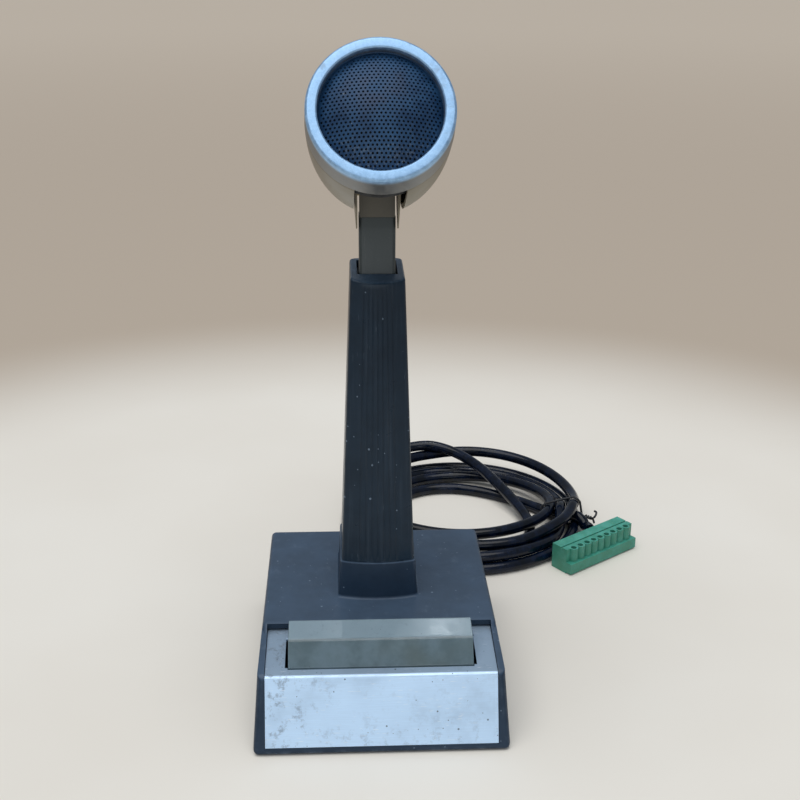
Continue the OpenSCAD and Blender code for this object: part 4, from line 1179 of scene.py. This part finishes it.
def make_grille():
    """A dished steel sheet with a close pattern of round holes, and its plain edge."""
    pitch, hole, sides = 1.6, 0.44, 12
    sphere, rim, rim_level = 41.0, 23.25, -4.6
    crown = math.sqrt(sphere ** 2 - rim ** 2)

    def dished(x, y):
        r = math.hypot(x, y)
        if r > rim:
            x, y = x * rim / r, y * rim / r
            r = rim
        return (x, y, rim_level + math.sqrt(sphere ** 2 - r * r) - crown)

    bm = bmesh.new()
    made = {}

    def corner(x, y):
        key = (round(x * 200), round(y * 200))
        if key not in made:
            made[key] = bm.verts.new(dished(x, y))
        return made[key]

    side = pitch / math.sqrt(3)
    reach = int(rim / pitch) + 3
    for row in range(-reach, reach + 1):
        for col in range(-reach, reach + 1):
            cx, cy = pitch * (col + (row % 2) * 0.5), row * side * 1.5
            if math.hypot(cx, cy) > rim + pitch * 0.55:
                continue
            outer = []
            for k in range(6):
                a, b = math.radians(60 * k + 30), math.radians(60 * k + 90)
                p = np.array((cx + side * math.cos(a), cy + side * math.sin(a)))
                q = np.array((cx + side * math.cos(b), cy + side * math.sin(b)))
                outer += [p, (p + q) / 2]
            ring_verts = [corner(*p) for p in outer]
            open_cell = math.hypot(cx, cy) < rim - 0.85
            if open_cell:
                angles = [math.radians(30 + 30 * k) for k in range(sides)]
                inner = [bm.verts.new(dished(cx + hole * math.cos(a),
                                        cy + hole * math.sin(a))) for a in angles]
            else:
                centre = bm.verts.new(dished(cx, cy))
            for k in range(sides):
                n = (k + 1) % sides
                inside = (inner[n], inner[k]) if open_cell else (centre,)
                bm.faces.new((ring_verts[k], ring_verts[n], *inside))
    bmesh.ops.remove_doubles(bm, verts=bm.verts, dist=0.02)
    bmesh.ops.dissolve_degenerate(bm, edges=bm.edges, dist=0.01)
    grille = raw_object("grille_sheet", bm, HEAD)
    modify(grille, "SOLIDIFY", thickness=GRILLE_T * MM, offset=-1)
    bm = bmesh.new()
    revolve(bm, [(22.9, -4.55), (23.3, -4.25), (25.3, -4.25), (25.5, -4.6), (25.5, -5.2), (22.9, -5.2)], 120)
    edge = raw_object("grille_edge", bm, HEAD)
    bm = bmesh.new()
    bm.from_mesh(grille.data)
    bm.from_mesh(edge.data)
    bm.to_mesh(grille.data)
    bm.free()
    bpy.data.objects.remove(edge)
    return piece(grille, "grille_blue", "head", "grille_blue", "grille", angle=40)


make_grille()


def make_shell():
    """The egg-shaped rear shell, with the slot that lets it tilt about the arm."""
    def egg(back, radius=28, length=62):
        return radius * math.sqrt(max(0.0, 1 - ((back - 18) / length) ** 2))

    outer = [(25.4, -8), (25.4, -14), (25.75, -14.3), (egg(14.6) - 0.15, -14.3), (egg(14.9), -14.9)]
    outer += [(egg(b), -b) for b in np.linspace(16, 74, 40)]
    outer += [(egg(80 - d), -(80 - d)) for d in (4.6, 3.4, 2.3, 1.4, 0.7, 0.25, 0.06)] + [(0.01, -80)]
    inner = [(0.01, -78)]
    inner += [(egg(b, 26, 60), -b) for b in
              (77.9, 77.4, 76.6, 75.4, 74, 72, *np.linspace(70, 18, 24))]
    inner += [(23.9, -16), (23.9, -8.3), (24.1, -8)]
    bm = bmesh.new()
    revolve(bm, outer + inner, 128)
    bmesh.ops.remove_doubles(bm, verts=bm.verts, dist=0.03)
    bmesh.ops.recalc_face_normals(bm, faces=bm.faces)
    shell = raw_object("shell", bm, HEAD)
    carve(shell, (rounded([(-9.85, -14.05, 0.5), (9.85, -14.05, 0.5), (9.85, -77, 5), (-9.85, -77, 5)],
                          6)[::-1], along_y, -60, 0), place=HEAD)
    return piece(shell, "shell_beige", "head", "shell_beige", "rear_shell", angle=30, flat=True)


make_shell()


def make_yoke():
    """The bridge and two ears that carry the head. The ears thin towards their lower tips."""
    outer_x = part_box("tilt_yoke")[1].x / MM
    inner_x, top, sheet = outer_x - 1.55, 3.6, 1.6
    outline = rounded([(44, top, 0), (66, top, 0), (72, -4, 2), (73, -9, 3), (70, -17, 6), (66, -25.4, 1.2),
                       (64, -25.4, 1.2), (55, -21.5, 6), (50, -14, 6), (44, -3, 3)], 5)
    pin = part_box("tilt_pin")
    middle = HEAD.inverted() @ ((pin[0] + pin[1]) / 2 / MM)
    bm = bmesh.new()
    for s in (-1, 1):
        rings = []
        for x in (inner_x, outer_x - 0.4, outer_x):
            spare = max(0.0, x - inner_x - 0.5)
            rings.append([(s * (x - spare * min(1, max(0, (-8 - y) / 16))), y, -back) for back, y in outline])
        loft(bm, rings)
    yoke = raw_object("yoke_ears", bm, HEAD)
    carve(yoke, ([(-outer_x, top - sheet), (outer_x, top - sheet), (outer_x, top), (-outer_x, top)],
                 along_z, -66, -44), operation="UNION", place=HEAD)
    carve(yoke, (circle(middle.z, middle.y, 1.82, 15), lambda z, y, x: (x, y, z), -20, 20),
          *((circle(0, -back, 1.52, 18), along_y, 0, 9) for back in (49, 60)), place=HEAD)
    bevel(yoke, 0.15, 2, 40)
    return piece(yoke, "shell_beige", "head", frame_slot("tilt_yoke"), "tilt_yoke", angle=30)


make_yoke()

# ---------------------------------------------------------------- softened copies of simple parts

for node, width, segments in (("base_plate", 0.3, 2), ("base_feet", 0.7, 4), ("ballast_weight", 0.8, 3),
                              ("arm_head", 0.5, 3), ("pivot_bracket", 0.18, 2),
                              ("terminal_strip", 0.25, 2), ("switch_insulators", 0.2, 2),
                              ("arm_guide", 0.2, 2), ("arm_stop", 0.2, 2)):
    slot = frame_slot(node)
    # The arm head takes the copy of the arm's paint that carries painted warm shade.
    refined(node, "arm_head_brown" if node == "arm_head" else slot, slot, width, segments)

# ---------------------------------------------------------------- materials of the frame's own meshes

for part in frame["record"]["subparts"]:
    node = frame["nodes"].get(part["node"])
    if node is not None:
        node.data.materials.clear()
        node.data.materials.append(MATERIALS[part["material_slot"]])

# ---------------------------------------------------------------- stage and light


def make_stage():
    """The table: a wide floor just under the object's feet."""
    bm = bmesh.new()
    half, steps = 60000, 8
    stations = [half * (2 * i / steps - 1) for i in range(steps + 1)]
    grid = [[bm.verts.new((x, y, -0.05)) for x in stations] for y in stations]
    for k in range(steps):
        for i in range(steps):
            bm.faces.new((grid[k][i], grid[k][i + 1], grid[k + 1][i + 1], grid[k + 1][i]))
    floor = raw_object("studio_floor", bm)
    floor.data.materials.append(floor_material())


make_stage()


def area_light(name, at, aim, size, size_y, power, colour):
    light = bpy.data.lights.new(name, "AREA")
    light.shape = "RECTANGLE"
    light.size = size * MM
    light.size_y = size_y * MM
    light.energy = power
    light.color = colour
    lamp = bpy.data.objects.new(name, light)
    lamp.location = Vector(at) * MM
    lamp.rotation_euler = (Vector(aim) - Vector(at)).to_track_quat("-Z", "Y").to_euler()
    bpy.context.scene.collection.objects.link(lamp)


sky = bpy.data.lights.new("sky_panel", "SUN")
sky.energy = 1.8
sky.angle = math.radians(60)
sky.color = (1.0, 0.99, 0.97)
sky_lamp = bpy.data.objects.new("sky_panel", sky)
sky_lamp.rotation_euler = Vector((-0.12, -0.24, 0.96)).to_track_quat("Z", "Y").to_euler()
bpy.context.scene.collection.objects.link(sky_lamp)
area_light("front_fill", (-100, -1600, 380), (0, 0, 60), 1400, 600, 3, (0.88, 0.95, 1.0))
area_light("ceiling_left", (14, 466, 908), (0, 0, 60), 16, 28, 0.09, (0.85, 0.94, 1.0))
area_light("ceiling_right", (110, 464, 907), (0, 0, 60), 16, 28, 0.09, (0.85, 0.94, 1.0))

world = bpy.data.worlds.new("studio_world")
world.use_nodes = True
world.node_tree.nodes["Background"].inputs["Color"].default_value = (0.82, 0.9, 1.0, 1)
world.node_tree.nodes["Background"].inputs["Strength"].default_value = 0.35
bpy.context.scene.world = world
bpy.context.scene.view_settings.view_transform = "Standard"
